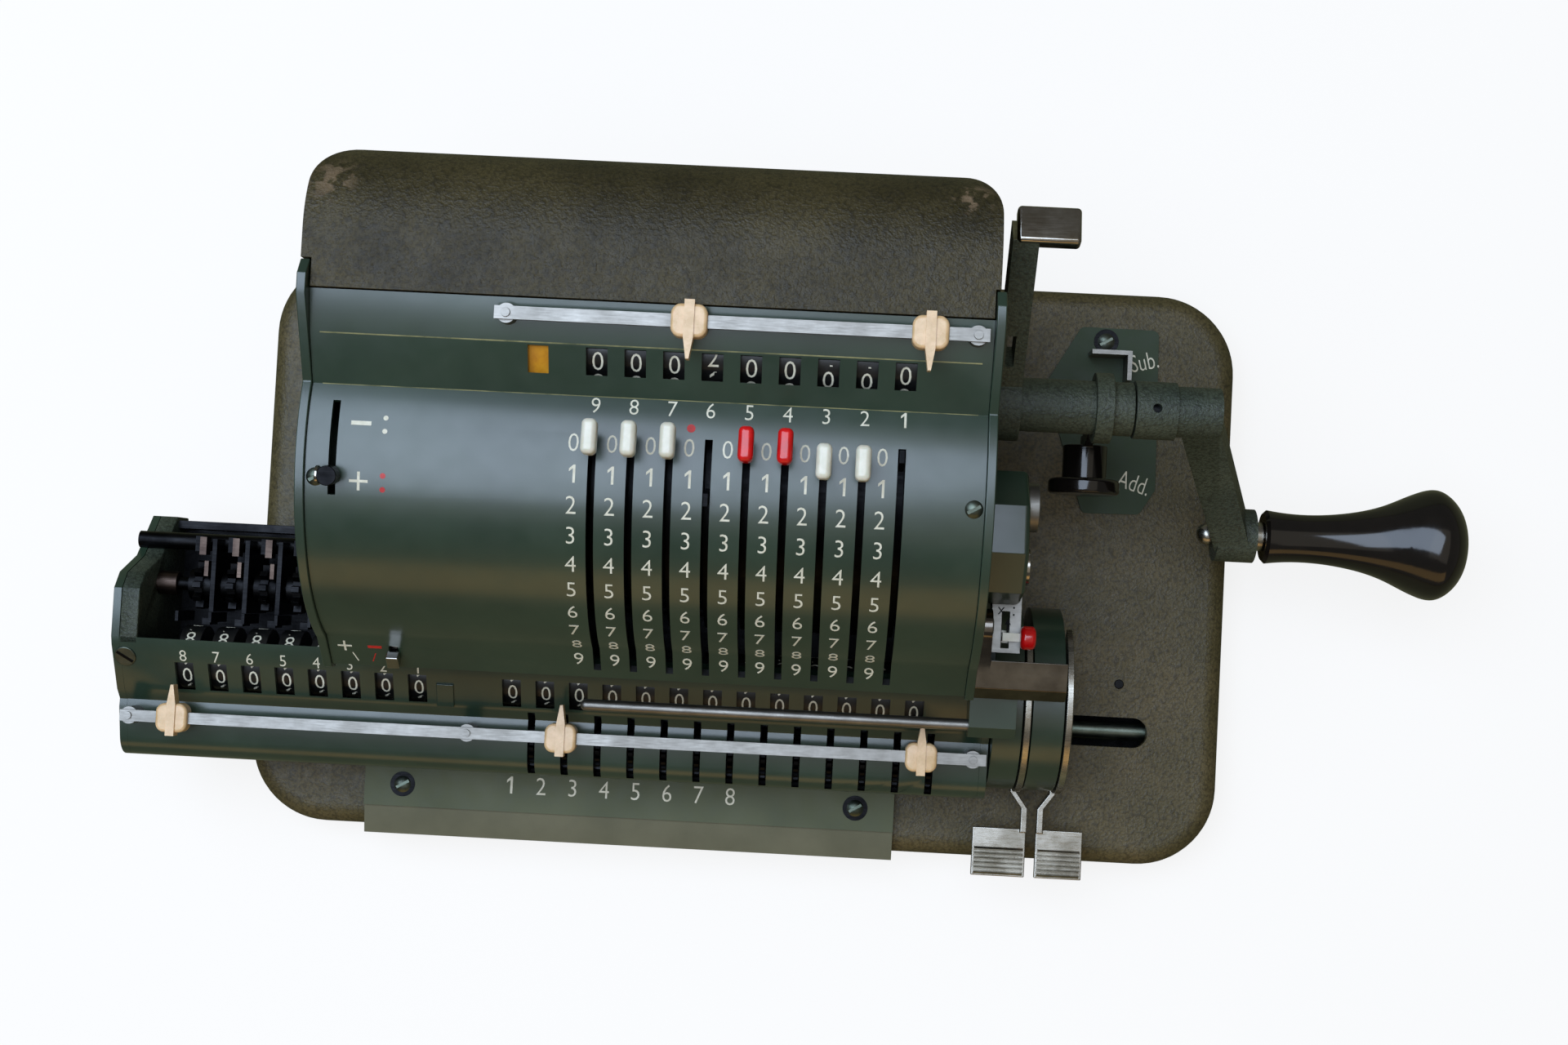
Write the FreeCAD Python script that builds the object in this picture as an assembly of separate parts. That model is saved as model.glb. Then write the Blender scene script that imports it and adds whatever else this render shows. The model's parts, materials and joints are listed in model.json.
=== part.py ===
import FreeCAD, Part
import math
import os

# Crank-driven lever-set calculating machine with a shifting register carriage.
# Millimetres. X runs along the digit columns, Y to the back, Z up from the table.
# Lever 5 stands at X = 0 while the pieces are built; the export moves the origin
# to the middle of the machine at table height.

# fits and walls
digit_pitch = 10.0
running_fit = 0.06
free_gap = 0.4
sheet_wall = 1.5
plate_thickness = 2.5

# base pan, feet and front block
base_left, base_right = -159.7, 149.2
base_front, base_back = -80.0, 102.0
base_top = 20.0
base_wall = 2.0
base_corner = 25.0
base_edge_round = 6.0
foot_height = 4.0
foot_radius = 8.0
foot_plug_radius = 3.0
foot_plug_length = 5.0
foot_inset = 22.0
block_left, block_right = -121.0, 46.9
block_front = -82.2
block_back = -50.0
block_shoulder = -73.5
block_lip_drop = 8.0
block_nose = 0.8
label_plate_thickness = 1.2
block_height = 2.8
screw_head_radius = 3.2
screw_head_height = 1.0
screw_shank_radius = 1.5
screw_shank_length = 2.4
screw_slot_width = 0.9
scale_screw_xs = (-108.9, 34.7)
scale_screw_y = -66.1
foot_seat = 0.5

# carriage guide
guide_y = -38.15
guide_z = 13.0
guide_rod_radius = 3.0
guide_slot_inset_left, guide_slot_inset_right = 9.7, 23.2
guide_slot_left = base_left + guide_slot_inset_left
guide_slot_right = base_right - guide_slot_inset_right
guide_block_length = 9.0
guide_rod_seat = 6.0
guide_slot_width = 9.5
shoe_width = 8.6
shoe_length = 20.0
shoe_centres = (-110.0, 20.0)
rail_y, rail_width = 8.0, 5.0

# side plates and drum
plate_left, plate_right = -117.0, 64.5
plate_back = 80.0
plate_proud = 1.0
plate_foot_front = 19.0
drum_y, drum_z = 31.2, 92.8
cover_radius = 52.0
cover_lip_angle = 69.0
cover_crease_angle = -20.0
lip_front, lip_z = -25.6, 102.5
lip_nose = 4.0
cover_side_gap = 0.1
apron_y = -22.0
apron_gap = 4.5
facet_back_y, facet_back_z = 61.7, 148.0
strip_back_y, strip_back_z = 72.7, 150.5
plate_ear_height = 4.0
plate_ear_bevel = (4.0, 3.0)
frame_rod_radius = 3.0
frame_rod_inset = 8.0

# setting levers and check dials
lever_count = 9
lever_zero_angle = -6.0
lever_step = 9.0
lever_slot_width = 2.0
lever_thickness = 1.3
lever_stem_length = 3.4
ring_width = 2.4
rotor_radius = 34.0
rotor_wall = 3.0
rotor_shaft_radius = 4.0
knob_width = 4.0
knob_length = 9.2
knob_low, knob_high = 6.2, 11.6
bare_stem_high = 2.5
knob_round = 1.5
slot_end_gap = 0.8
lever_rest_digits = {1: 0.0, 2: 0.35, 3: 0.35, 4: 0.0, 5: 0.0, 6: 1.6, 7: 0.0, 8: 0.0, 9: 0.0}
bare_levers = (1, 6)
dial_width = 6.6
check_dial_radius = 10.5
check_dial_depth = 2.4
window_width = 5.6
check_window_length = 6.8
check_window_y = 57.6
amber_window_x = -55.2
amber_window_width = 5.4
dial_shaft_radius = 2.0

# sign lever, counter switch and panel screws
sign_lever_x = -107.4
sign_angle = 6.7
sign_slot_angles = (-15.0, 12.5)
switch_x = -96.4
switch_slot_start = 3.5
switch_slot_length = 7.0
switch_slot_width = 2.6
switch_tab_width = 3.4
switch_tab_length = 4.4
switch_tab_low, switch_tab_high = 0.5, 3.4
switch_stem_length = 2.4
switch_keeper_width = 6.0
switch_keeper_thickness = 1.2
sign_knob_radius = 2.6
sign_knob_low, sign_knob_high = 1.4, 6.0
sign_bush_reach = 4.0
sign_bush_wall = 2.0
panel_screw_y = 24.4
panel_screw_radius = 2.4

# upper pointer rail
upper_rail_left, upper_rail_right = -66.0, 60.6
upper_rail_y = 68.3
upper_rail_z = 154.0
rail_bar_width = 3.4
rail_bar_thickness = 1.2
rail_post_radius = 2.6
rail_rivet_radius = 1.17
rail_rivet_height = 0.6
rail_post_inset = 3.0
rail_post_sunk = 0.4
pointer_body_width = 9.4
pointer_body_length = 8.6
pointer_height = 4.6
pointer_tip_reach = 5.6
pointer_tail_reach = 1.0
pointer_tip_width = 2.6
pointer_point_width = 0.8
pointer_under = 1.6
pointer_corner = 2.6
pointer_top_round = 1.0
pointer_ridge = 0.5
pointer_needle_seat = 1.2
upper_pointer_xs = (-16.0, 45.4)

# rear cover
rear_left, rear_right = -117.0, 63.0
rear_top = 151.5
rear_wall_y = 113.7
rear_foot_y = 98.0
rear_corner = 13.0
rear_shoulder = 26.0
rear_knee_drop = 20.0
rear_seat_gap = 0.3
rear_front_open = 12.0
rear_front_depth = 3.0

# carriage
carriage_left, carriage_right = -189.4, 73.0
carriage_end_thickness = 2.4
carriage_floor_low = 26.0
carriage_floor_thickness = 2.0
carriage_back = 14.6
carriage_end_back_z = 37.0
carriage_end_step = ((2.0, 50.0), (-3.2, 64.0))
carriage_end_shoulder_y = -8.0
carriage_rear_wall = 2.5
carriage_rear_top = 36.0
carriage_floor_inset = 1.0
cover_back_y = -22.5
cover_top_z = 68.0
window_facet_top, window_facet_bottom = (-25.0, 67.2), (-38.5, 60.0)
groove_point = (-41.5, 57.0)
bulge_points = ((-44.0, 57.2), (-53.0, 55.0), (-58.5, 46.0))
bulge_swell = (1.6, 2.2)
cover_bottom_z = 34.0
register_window_y = (-37.6, -29.4)
register_dial_radius = 9.5
register_dial_depth = 2.1
result_count = 13
result_first_x = 50.0
counter_count = 8
counter_first_x = -98.2
wheel_slot_first_x = -64.3
wheel_slot_y = (-58.0, -39.2)
wheel_slot_width = 2.2
wheel_y, wheel_z = -47.6, 47.6
wheel_radius = 8.6
wheel_thickness = 1.4
wheel_teeth = 20
wheel_tooth_depth = 1.2
wheel_hub_radius = 4.0
wheel_hub_width = 3.0
carry_y, carry_z = -6.0, 50.0
carry_radius = 7.5
carry_teeth = 10
carry_tooth_depth = 2.0
carry_width = 2.4
carry_hub_radius = 4.6
carry_hub_width = 6.8
carry_bar_radius = 2.6
carry_bar_y, carry_bar_z = 7.0, 47.0
carriage_rail_y = -45.9
carriage_rail_z = 65.0
carriage_rail_left, carriage_rail_right = -186.4, 71.9
carriage_post_xs = (-184.0, -82.5, 68.0)
carriage_pointer_xs = (-170.5, -54.3, 52.6)

# clearing levers at the right end of the carriage
clear_y, clear_z = -28.0, 39.0
clear_radius = 28.0
clear_drum_width = (8.6, 9.4)
clear_lever_thickness = 2.0
clear_spindle_radius = 4.0
clear_rim_proud = 0.8
clear_sector_back = 40.0
clear_neck_height = 4.0
clear_neck_bend = 3.6
clear_neck_overlap = 2.0
clear_tab_drop = 1.2
clear_washer_thickness = 1.5
clear_washer_proud = 3.0
clear_tab_front, clear_tab_back = -84.0, -69.0
clear_tab_z = 31.0
clear_tab_widths = (16.6, 14.6)
clear_tab_thickness = 1.6

# crank
crank_y, crank_z = 57.3, 92.8
crank_sleeve_radius = 7.6
crank_sleeve_right = 106.0
sleeve_flange_radius = 11.0
sleeve_flange_thickness = 2.0
crank_shaft_radius = 5.0
crank_hub_radius = 8.2
crank_hub_right = 118.0
crank_eye_right = 130.6
crank_boss_right = 151.6
crank_boss_width = 11.9
crank_boss_left = crank_boss_right - crank_boss_width
crank_boss_y, crank_boss_z = 25.2, 44.0
crank_boss_radius = 8.2
crank_eye_wall = 1.5
crank_eye_step = 1.0
crank_arm_half, crank_arm_boss_half = 6.6, 7.0
cross_pin_x = 112.0
cross_pin_radius = 1.3
cross_pin_depth = 4.0
grip_pin_radius = 2.5
grip_pin_head_radius = 3.4
grip_pin_head_sunk = 2.0
grip_collar_radius = 4.4
grip_collar_length = 2.4
grip_left = crank_boss_right + grip_collar_length + free_gap
grip_length = 60.3
grip_right = grip_left + grip_length
grip_pin_short = 8.0
grip_bore_short = 7.0
grip_chamfer = 1.0
grip_straight = 24.0
grip_flare_length = 17.0
grip_throat_rise = 3.4
grip_end_round = 7.0
grip_neck_radius = 8.2
grip_flare_radius = 16.8
gear_module = 1.0
gear_width = 6.0
gear_left = 51.0
gear_backlash = 0.5
gear_shaft_end = 2.0

# levers on the right side of the body
clear_arm_left, clear_arm_width = 66.9, 7.0
clear_key_reach = 16.0
clear_key_y, clear_key_z = 97.0, 127.0
clear_key_length = 10.4
clear_key_height = 5.0
clear_hub_radius = 10.5
clear_arm_half = 5.0
clear_arm_slot = (16.0, 26.0)
clear_arm_slot_width = 2.4
clear_arm_slot_inset = 1.4
clear_key_seat = 3.0
clear_key_round = 1.2
clear_key_lean = 35.0
clear_key_hinge = 5.0
add_lever_left = 95.0
add_lever_width = 5.0
add_hub_radius = 10.0
add_knob_y, add_knob_z = 34.5, 59.0
add_flange_radius = 10.6
add_flange_thickness = 4.6
add_neck_radius = 6.6
add_neck_length = 10.0
add_stem_width = 2.6
add_stem_half = 3.0
add_stem_top = 8.5
add_foot_half = 2.0
add_flange_round = 1.2
add_plate_points = ((99.3, 90.2), (123.9, 90.0), (124.9, 39.3), (120.1, 31.2), (102.0, 30.8), (88.5, 71.3))
add_plate_screw = (107.3, 85.8)
add_plate_corner = 2.0
stop_bracket_height = 10.0
stop_bracket_left, stop_bracket_right = 101.8, 114.4
stop_bracket_front, stop_bracket_back = 72.7, 82.0
stop_bracket_wall = 1.4
housing_right = 77.5
housing_back, housing_front = 38.0, 0.6
housing_low, housing_high = 77.0, 109.0
housing_foot_front, housing_foot_back = 5.0, 6.0
housing_back_rise, housing_back_drop = 8.0, 12.0
housing_crown_back, housing_crown_front, housing_crown_fall = 10.0, 14.0, 2.0
housing_nose_in, housing_nose_drop = 3.0, 7.0
housing_front_rise, housing_front_foot = 12.0, 5.0
housing_round = 1.6
housing_cap_radius = 7.0
housing_cap_proud = 3.2
housing_cap_ahead = 3.0
housing_shaft_room = 3.0
mode_slot_y = (-13.5, -0.6)
mode_plate_z = 84.0
mode_plate_thickness = 2.5
mode_plate_overlap = 8.0
mode_web_thickness = 1.3
mode_web_drop = 6.0
mode_slot_width = 2.2
mode_slot_inset = 2.4
mode_slot_ends = (1.5, 1.0)
mode_knob_y = -8.8
mode_knob_radius = 3.4
mode_stem_half = (0.9, 1.2)
mode_keeper_half = (2.0, 1.8)
mode_keeper_low = 4.0
mode_keeper_gap = 0.3
mode_foot_right = 6.0
mode_foot_height = 2.0
mode_cap_left, mode_cap_right = 4.0, 8.4
mode_cap_rise = 3.2
mode_cap_round = 1.4
handle_pivot_y, handle_pivot_z = -6.0, 92.0
handle_stud_radius = 2.5
handle_hub_radius = 5.0
handle_arm_width = 4.6
handle_right = 91.5
handle_front, handle_back = -26.5, -15.5
handle_z = 90.0
handle_thickness = 1.6
handle_bend = 3.0
handle_drop = 4.0
handle_root_drop = 2.0
handle_root_rise = 2.4
bar_left = -45.6
bar_y, bar_z = -34.8, 79.0
bar_radius = 1.7
bracket_right = 78.4
bracket_back, bracket_front = -19.2, -38.2
bracket_drop = 6.5
bracket_rise = 4.0
bracket_crown = 2.0
bracket_bevel = 3.0


# small shape makers

def vec(x, y, z):
    return FreeCAD.Vector(x, y, z)


def box(x0, x1, y0, y1, z0, z1):
    return Part.makeBox(x1 - x0, y1 - y0, z1 - z0, vec(x0, y0, z0))


def rod_x(x0, x1, y, z, radius):
    return Part.makeCylinder(radius, x1 - x0, vec(x0, y, z), vec(1, 0, 0))


def rod_z(x, y, z0, z1, radius):
    return Part.makeCylinder(radius, z1 - z0, vec(x, y, z0), vec(0, 0, 1))


def tube_x(x0, x1, y, z, outer, inner):
    return rod_x(x0, x1, y, z, outer).cut(rod_x(x0 - 1, x1 + 1, y, z, inner))


def wire_of(points):
    return Part.makePolygon(list(points) + [points[0]])


def prism_x(outline, x0, x1):
    face = Part.Face(wire_of([vec(x0, y, z) for y, z in outline]))
    return face.extrude(vec(x1 - x0, 0, 0))


def prism_z(outline, z0, z1):
    face = Part.Face(wire_of([vec(x, y, z0) for x, y in outline]))
    return face.extrude(vec(0, 0, z1 - z0))


def edges_face_x(edges, x0):
    face = Part.Face(Part.Wire(edges))
    face.translate(vec(x0, 0, 0))
    return face


def line_yz(a, b):
    return Part.makeLine(vec(0, a[0], a[1]), vec(0, b[0], b[1]))


def arc_yz(a, mid, b):
    return Part.Arc(vec(0, a[0], a[1]), vec(0, mid[0], mid[1]), vec(0, b[0], b[1])).toShape()


def on_drum(radius, degrees):
    # point at a lever angle: 0 is straight up, positive leans to the front
    angle = math.radians(degrees)
    return (drum_y - radius * math.sin(angle), drum_z + radius * math.cos(angle))


def turn_x(shape, y, z, degrees):
    # positive turns a piece above the axis towards the front
    turned = shape.copy()
    turned.rotate(vec(0, y, z), vec(1, 0, 0), degrees)
    return turned


def fuse(shapes):
    return shapes[0].multiFuse(shapes[1:]).removeSplitter()


def toothed_disc(x0, x1, y, z, root, tip, teeth, tooth_share, phase):
    # straight-flanked teeth round a disc; tooth_share is tooth width over pitch
    step = 2 * math.pi / teeth
    points = []
    for number in range(teeth):
        middle = phase + number * step
        for radius, part in ((root, -0.62), (tip, -0.34), (tip, 0.34), (root, 0.62)):
            angle = middle + part * tooth_share * step
            points.append((y + radius * math.cos(angle), z + radius * math.sin(angle)))
    return prism_x(points, x0, x1)


def slotted_screw(x, y, z, lean, radius=screw_head_radius):
    # domed head with a driver slot on a short shank, leaning forward by an angle
    dome = Part.makeSphere(radius * 1.4, vec(x, y, z - radius * 1.4 + screw_head_height))
    head = rod_z(x, y, z, z + screw_head_height, radius).common(dome)
    shank = rod_z(x, y, z - screw_shank_length, z + 0.2, screw_shank_radius)
    slot = box(x - radius, x + radius, y - screw_slot_width / 2, y + screw_slot_width / 2,
               z + screw_head_height * 0.4, z + screw_head_height * 2)
    slot.rotate(vec(x, y, z), vec(0, 0, 1), 30)
    screw = head.fuse(shank).cut(slot)
    screw.rotate(vec(x, y, z), vec(1, 0, 0), lean)
    return screw


def lever_x(number):
    return (5 - number) * digit_pitch


def result_x(number):
    return result_first_x - number * digit_pitch


def counter_x(number):
    return counter_first_x - number * digit_pitch


# places worked out from the driving sizes

plate_left_inner = plate_left + plate_thickness
plate_right_inner = plate_right - plate_thickness
panel_screw_xs = (plate_left_inner + panel_screw_radius + free_gap,
                  plate_right_inner - panel_screw_radius - free_gap)
crease = on_drum(cover_radius, cover_crease_angle)
lip_top = on_drum(cover_radius, cover_lip_angle)
facet_lean = math.atan2(facet_back_z - crease[1], facet_back_y - crease[0])
check_window_z = crease[1] + (check_window_y - crease[0]) * math.tan(facet_lean)
check_centre_depth = check_dial_depth + check_dial_radius
check_y = check_window_y + check_centre_depth * math.sin(facet_lean)
check_z = check_window_z - check_centre_depth * math.cos(facet_lean)
lever_ring_radius = math.hypot(check_y - drum_y, check_z - drum_z) - check_dial_radius - free_gap
register_lean = math.atan2(window_facet_top[1] - window_facet_bottom[1],
                           window_facet_top[0] - window_facet_bottom[0])
register_window_mid = sum(register_window_y) / 2
register_window_along = register_window_mid - window_facet_bottom[0]
register_window_z = window_facet_bottom[1] + register_window_along * math.tan(register_lean)
register_depth = register_dial_depth + register_dial_radius
dial_y = register_window_mid + register_depth * math.sin(register_lean)
dial_z = register_window_z - register_depth * math.cos(register_lean)
carriage_inner_left = carriage_left + carriage_end_thickness
carriage_inner_right = carriage_right - carriage_end_thickness
gear_pitch_radius = math.hypot(crank_y - drum_y, crank_z - drum_z) / 2
gear_teeth = int(round(2 * gear_pitch_radius / gear_module))
plate_top = base_top + block_height + label_plate_thickness
apron_bottom = cover_top_z + apron_gap
clear_drum_left = carriage_right + free_gap
counter_lever_left = clear_drum_left + clear_drum_width[0] + free_gap
clear_second_left = counter_lever_left + clear_lever_thickness + free_gap
result_lever_left = clear_second_left + clear_drum_width[1] + free_gap
handle_arm_left = plate_right + free_gap
clear_end = result_lever_left + clear_lever_thickness + free_gap


# base

def rounded_block(x0, x1, y0, y1, z0, z1, corner, edge_round):
    block = box(x0, x1, y0, y1, z0, z1)
    upright = [e for e in block.Edges if abs(e.tangentAt(e.FirstParameter).z) > 0.9]
    block = block.makeFillet(corner, upright)
    top = [e for e in block.Edges if e.BoundBox.ZMin > z1 - 0.01]
    return block.makeFillet(edge_round, top)


def foot_places():
    return [(x, y) for x in (base_left + foot_inset, base_right - foot_inset)
            for y in (base_front + foot_inset, base_back - foot_inset)]


def make_base_pan():
    pan = rounded_block(base_left, base_right, base_front, base_back, foot_height, base_top,
                        base_corner, base_edge_round)
    hollow = rounded_block(base_left + base_wall, base_right - base_wall, base_front + base_wall,
                           base_back - base_wall, foot_height - 1, base_top - base_wall,
                           base_corner - base_wall, base_edge_round - base_wall)
    pan = pan.cut(hollow)
    inside_top = base_top - base_wall
    bosses = [rod_z(x, y, foot_height, inside_top + foot_seat, foot_radius) for x, y in foot_places()]
    slot_half = guide_slot_width / 2
    for x0, x1 in ((guide_slot_left - guide_block_length, guide_slot_left),
                   (guide_slot_right, guide_slot_right + guide_block_length)):
        bosses.append(box(x0, x1, guide_y - slot_half, guide_y + slot_half, foot_height + base_wall,
                          inside_top + foot_seat))
    pan = fuse([pan] + bosses)
    slot = box(guide_slot_left, guide_slot_right, guide_y - slot_half, guide_y + slot_half,
               inside_top - 1, base_top + 1)
    slot_ends = [e for e in slot.Edges if abs(e.tangentAt(e.FirstParameter).z) > 0.9]
    slot = slot.makeFillet(slot_half - 0.1, slot_ends)
    rod_hole = rod_x(guide_slot_left - guide_rod_seat, guide_slot_right + guide_rod_seat, guide_y, guide_z,
                guide_rod_radius)
    plugs = [rod_z(x, y, foot_height - 1, foot_height + foot_plug_length + free_gap, foot_plug_radius)
             for x, y in foot_places()]
    return pan.cut(Part.makeCompound([slot, rod_hole] + plugs)).cut(base_screw_holes())


def make_rubber_feet():
    feet = []
    for x, y in foot_places():
        pad = rod_z(x, y, 0, foot_height, foot_radius)
        plug = rod_z(x, y, foot_height - foot_seat, foot_height + foot_plug_length, foot_plug_radius - running_fit)
        feet.append(fuse([pad, plug]))
    return Part.makeCompound(feet)


def make_front_block():
    top = base_top + block_height
    outline = ((block_back, base_top), (block_back, top), (block_shoulder, top),
               (block_front, base_top + block_nose), (block_front, base_top - block_lip_drop),
               (base_front - free_gap, base_top - block_lip_drop), (base_front - free_gap, base_top))
    return prism_x(outline, block_left, block_right).cut(base_screw_holes())


def base_screw_places():
    plate = base_top + label_plate_thickness
    places = [(x, scale_screw_y, plate_top) for x in scale_screw_xs]
    return places + [(add_plate_screw[0], add_plate_screw[1], plate)]


def base_screw_holes():
    return Part.makeCompound([rod_z(x, y, z - screw_shank_length, z + 1, screw_shank_radius)
                              for x, y, z in base_screw_places()])


def make_label_plates():
    z0 = base_top + block_height
    scale = box(block_left, block_right, block_shoulder + free_gap, block_back, z0, z0 + label_plate_thickness)
    sign = prism_z(add_plate_points, base_top, base_top + label_plate_thickness)
    corners = [e for e in sign.Edges if abs(e.tangentAt(e.FirstParameter).z) > 0.9]
    sign = sign.makeFillet(add_plate_corner, corners)
    z1 = base_top + label_plate_thickness
    upright = box(stop_bracket_left, stop_bracket_right, stop_bracket_back - stop_bracket_wall, stop_bracket_back,
                  z1, z1 + stop_bracket_height)
    side = box(stop_bracket_right - stop_bracket_wall, stop_bracket_right, stop_bracket_front, stop_bracket_back,
               z1, z1 + stop_bracket_height)
    holes = base_screw_holes()
    return Part.makeCompound([scale.cut(holes), fuse([sign, upright, side]).cut(holes)])


def make_guide_rails():
    rod = rod_x(guide_slot_left - guide_rod_seat, guide_slot_right + guide_rod_seat, guide_y, guide_z,
                guide_rod_radius)
    rail = box(plate_left, plate_right, rail_y, rail_y + rail_width, base_top, carriage_floor_low - free_gap)
    return Part.makeCompound([rod, rail])


# body frame and covers

def plate_outline():
    ring = cover_radius + plate_proud
    back = on_drum(ring, cover_crease_angle)
    front = on_drum(ring, cover_lip_angle)
    top = strip_back_z + plate_ear_height
    points = [(plate_foot_front, base_top), (plate_back, base_top), (plate_back, top - plate_ear_bevel[1]),
              (plate_back - plate_ear_bevel[0], top),
              (strip_back_y - 2, top), (facet_back_y - plate_proud, facet_back_z + plate_proud), back]
    edges = [line_yz(a, b) for a, b in zip(points, points[1:])]
    edges.append(arc_yz(back, on_drum(ring, 20), front))
    tail = [front, (lip_front - plate_proud, lip_z), (lip_front - plate_proud, lip_z - lip_nose),
            (apron_y - plate_proud, lip_z - 2 * lip_nose), (apron_y - plate_proud, apron_bottom),
            (plate_foot_front, apron_bottom), (plate_foot_front, base_top)]
    return edges + [line_yz(a, b) for a, b in zip(tail, tail[1:])]


def make_side_plate(x0, holes):
    plate = edges_face_x(plate_outline(), x0).extrude(vec(plate_thickness, 0, 0))
    for y, z, radius in holes:
        plate = plate.cut(rod_x(x0 - 1, x0 + plate_thickness + 1, y, z, radius))
    return plate


def make_left_side_plate():
    return make_side_plate(plate_left, [(drum_y, drum_z, rotor_shaft_radius + running_fit)])


def make_right_side_plate():
    holes = [(drum_y, drum_z, rotor_shaft_radius + running_fit), (crank_y, crank_z, crank_sleeve_radius)]
    plate = make_side_plate(plate_right_inner, holes)
    stud_end = handle_arm_left + handle_arm_width + free_gap
    stud = rod_x(plate_right_inner, stud_end, handle_pivot_y, handle_pivot_z, handle_stud_radius)
    return plate.fuse(stud).removeSplitter()


def make_frame_rods():
    low = base_top + frame_rod_inset
    places = ((plate_back - frame_rod_inset, low), (plate_foot_front + frame_rod_inset, low),
              (plate_back - frame_rod_inset, (base_top + drum_z) / 2))
    rods = [rod_x(plate_left_inner, plate_right_inner, y, z, frame_rod_radius) for y, z in places]
    rods.append(rod_x(plate_left_inner, plate_right_inner, check_y, check_z, dial_shaft_radius))
    return Part.makeCompound(rods)


def cover_outline(back_y, bottom_z):
    points = [(back_y, bottom_z), (back_y, strip_back_z), (facet_back_y, facet_back_z), crease]
    if back_y > strip_back_y:
        points.insert(2, (strip_back_y, strip_back_z))
    edges = [line_yz(a, b) for a, b in zip(points, points[1:])]
    edges.append(arc_yz(crease, on_drum(cover_radius, 20), lip_top))
    tail = [lip_top, (lip_front, lip_z), (lip_front, lip_z - lip_nose), (apron_y, lip_z - 2 * lip_nose),
            (apron_y, bottom_z), (back_y, bottom_z)]
    return edges + [line_yz(a, b) for a, b in zip(tail, tail[1:])]


def drum_slot(x, width, angle0, angle1):
    inner, outer = cover_radius - 8, cover_radius + 8
    points = [on_drum(inner, angle0)] + [on_drum(outer, angle0 + (angle1 - angle0) * s / 6) for s in range(7)]
    points += [on_drum(inner, angle1 - (angle1 - angle0) * s / 6) for s in range(6)]
    return prism_x(points, x - width / 2, x + width / 2)


def make_front_cover():
    left, right = plate_left_inner + cover_side_gap, plate_right_inner - cover_side_gap
    bottom = apron_bottom
    outer = edges_face_x(cover_outline(strip_back_y, bottom), left).extrude(vec(right - left, 0, 0))
    inner_face = edges_face_x(cover_outline(strip_back_y + 12, bottom - 12), left - 1)
    inner = inner_face.makeOffset2D(-sheet_wall).extrude(vec(right - left + 2, 0, 0))
    cover = outer.cut(inner)
    half = math.degrees(lever_stem_length / 2 / cover_radius) + slot_end_gap
    cuts = []
    for number in range(1, lever_count + 1):
        x = lever_x(number)
        cuts.append(drum_slot(x, lever_slot_width, lever_zero_angle - half,
                              lever_zero_angle + 9 * lever_step + half))
        cuts.append(window_cut(x, window_width))
    cuts.append(window_cut(amber_window_x, amber_window_width))
    cuts.append(drum_slot(sign_lever_x, lever_slot_width, sign_slot_angles[0], sign_slot_angles[1]))
    cuts.append(switch_cut())
    for x in panel_screw_xs:
        cuts.append(panel_screw_hole(x))
    return cover.cut(Part.makeCompound(cuts))


def window_cut(x, width):
    half = check_window_length / 2
    return box(x - width / 2, x + width / 2, check_window_y - half, check_window_y + half,
               check_window_z - 8, check_window_z + 8)


def lip_frame():
    along = math.hypot(lip_front - lip_top[0], lip_z - lip_top[1])
    direction = ((lip_front - lip_top[0]) / along, (lip_z - lip_top[1]) / along)
    normal = (direction[1], -direction[0])
    return direction, normal


def lip_box(x0, x1, along0, along1, low, high):
    # a block laid on the lip: along the slope from its top, low to high off its face
    direction, normal = lip_frame()
    points = []
    for along, off in ((along0, low), (along1, low), (along1, high), (along0, high)):
        points.append((lip_top[0] + direction[0] * along + normal[0] * off,
                       lip_top[1] + direction[1] * along + normal[1] * off))
    return prism_x(points, x0, x1)


def switch_cut():
    half = switch_slot_width / 2
    end = switch_slot_start + switch_slot_length
    return lip_box(switch_x - half, switch_x + half, switch_slot_start, end, -4 * sheet_wall, 4 * sheet_wall)


def panel_screw_lean():
    return math.degrees(math.asin((drum_y - panel_screw_y) / cover_radius))


def panel_screw_hole(x):
    lean = panel_screw_lean()
    y, z = on_drum(cover_radius, lean)
    hole = rod_z(x, y, z - 6, z + 6, screw_shank_radius)
    hole.rotate(vec(x, y, z), vec(1, 0, 0), lean)
    return hole


def make_slotted_screws():
    lean = panel_screw_lean()
    y, z = on_drum(cover_radius, lean)
    screws = [slotted_screw(x, y, z, lean, panel_screw_radius) for x in panel_screw_xs]
    return screws + [slotted_screw(sx, sy, sz, 0) for sx, sy, sz in base_screw_places()]


def rear_outline(inset, front_y, bottom_z):
    top = rear_top - inset
    wall = rear_wall_y - inset
    shoulder = rear_shoulder - inset
    knee = (wall, top - shoulder - rear_knee_drop)
    mid = (wall - shoulder * (1 - math.sqrt(0.5)), top - shoulder * (1 - math.sqrt(0.5)))
    foot = (rear_foot_y - inset, bottom_z)
    edges = [line_yz((front_y, bottom_z), (front_y, top)), line_yz((front_y, top), (wall - shoulder, top)),
             arc_yz((wall - shoulder, top), mid, (wall, top - shoulder)),
             line_yz((wall, top - shoulder), knee), line_yz(knee, foot), line_yz(foot, (front_y, bottom_z))]
    return edges


def rear_body(inset, front_y, bottom_z):
    left, right = rear_left + inset, rear_right - inset
    body = edges_face_x(rear_outline(inset, front_y, bottom_z), left).extrude(vec(right - left, 0, 0))
    plan = box(left, right, front_y - rear_corner, rear_wall_y - inset, bottom_z - 1, rear_top + 1)
    back = [e for e in plan.Edges if abs(e.tangentAt(e.FirstParameter).z) > 0.9
            and e.BoundBox.YMin > rear_wall_y - inset - 1]
    return body.common(plan.makeFillet(rear_corner - inset, back))


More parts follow.
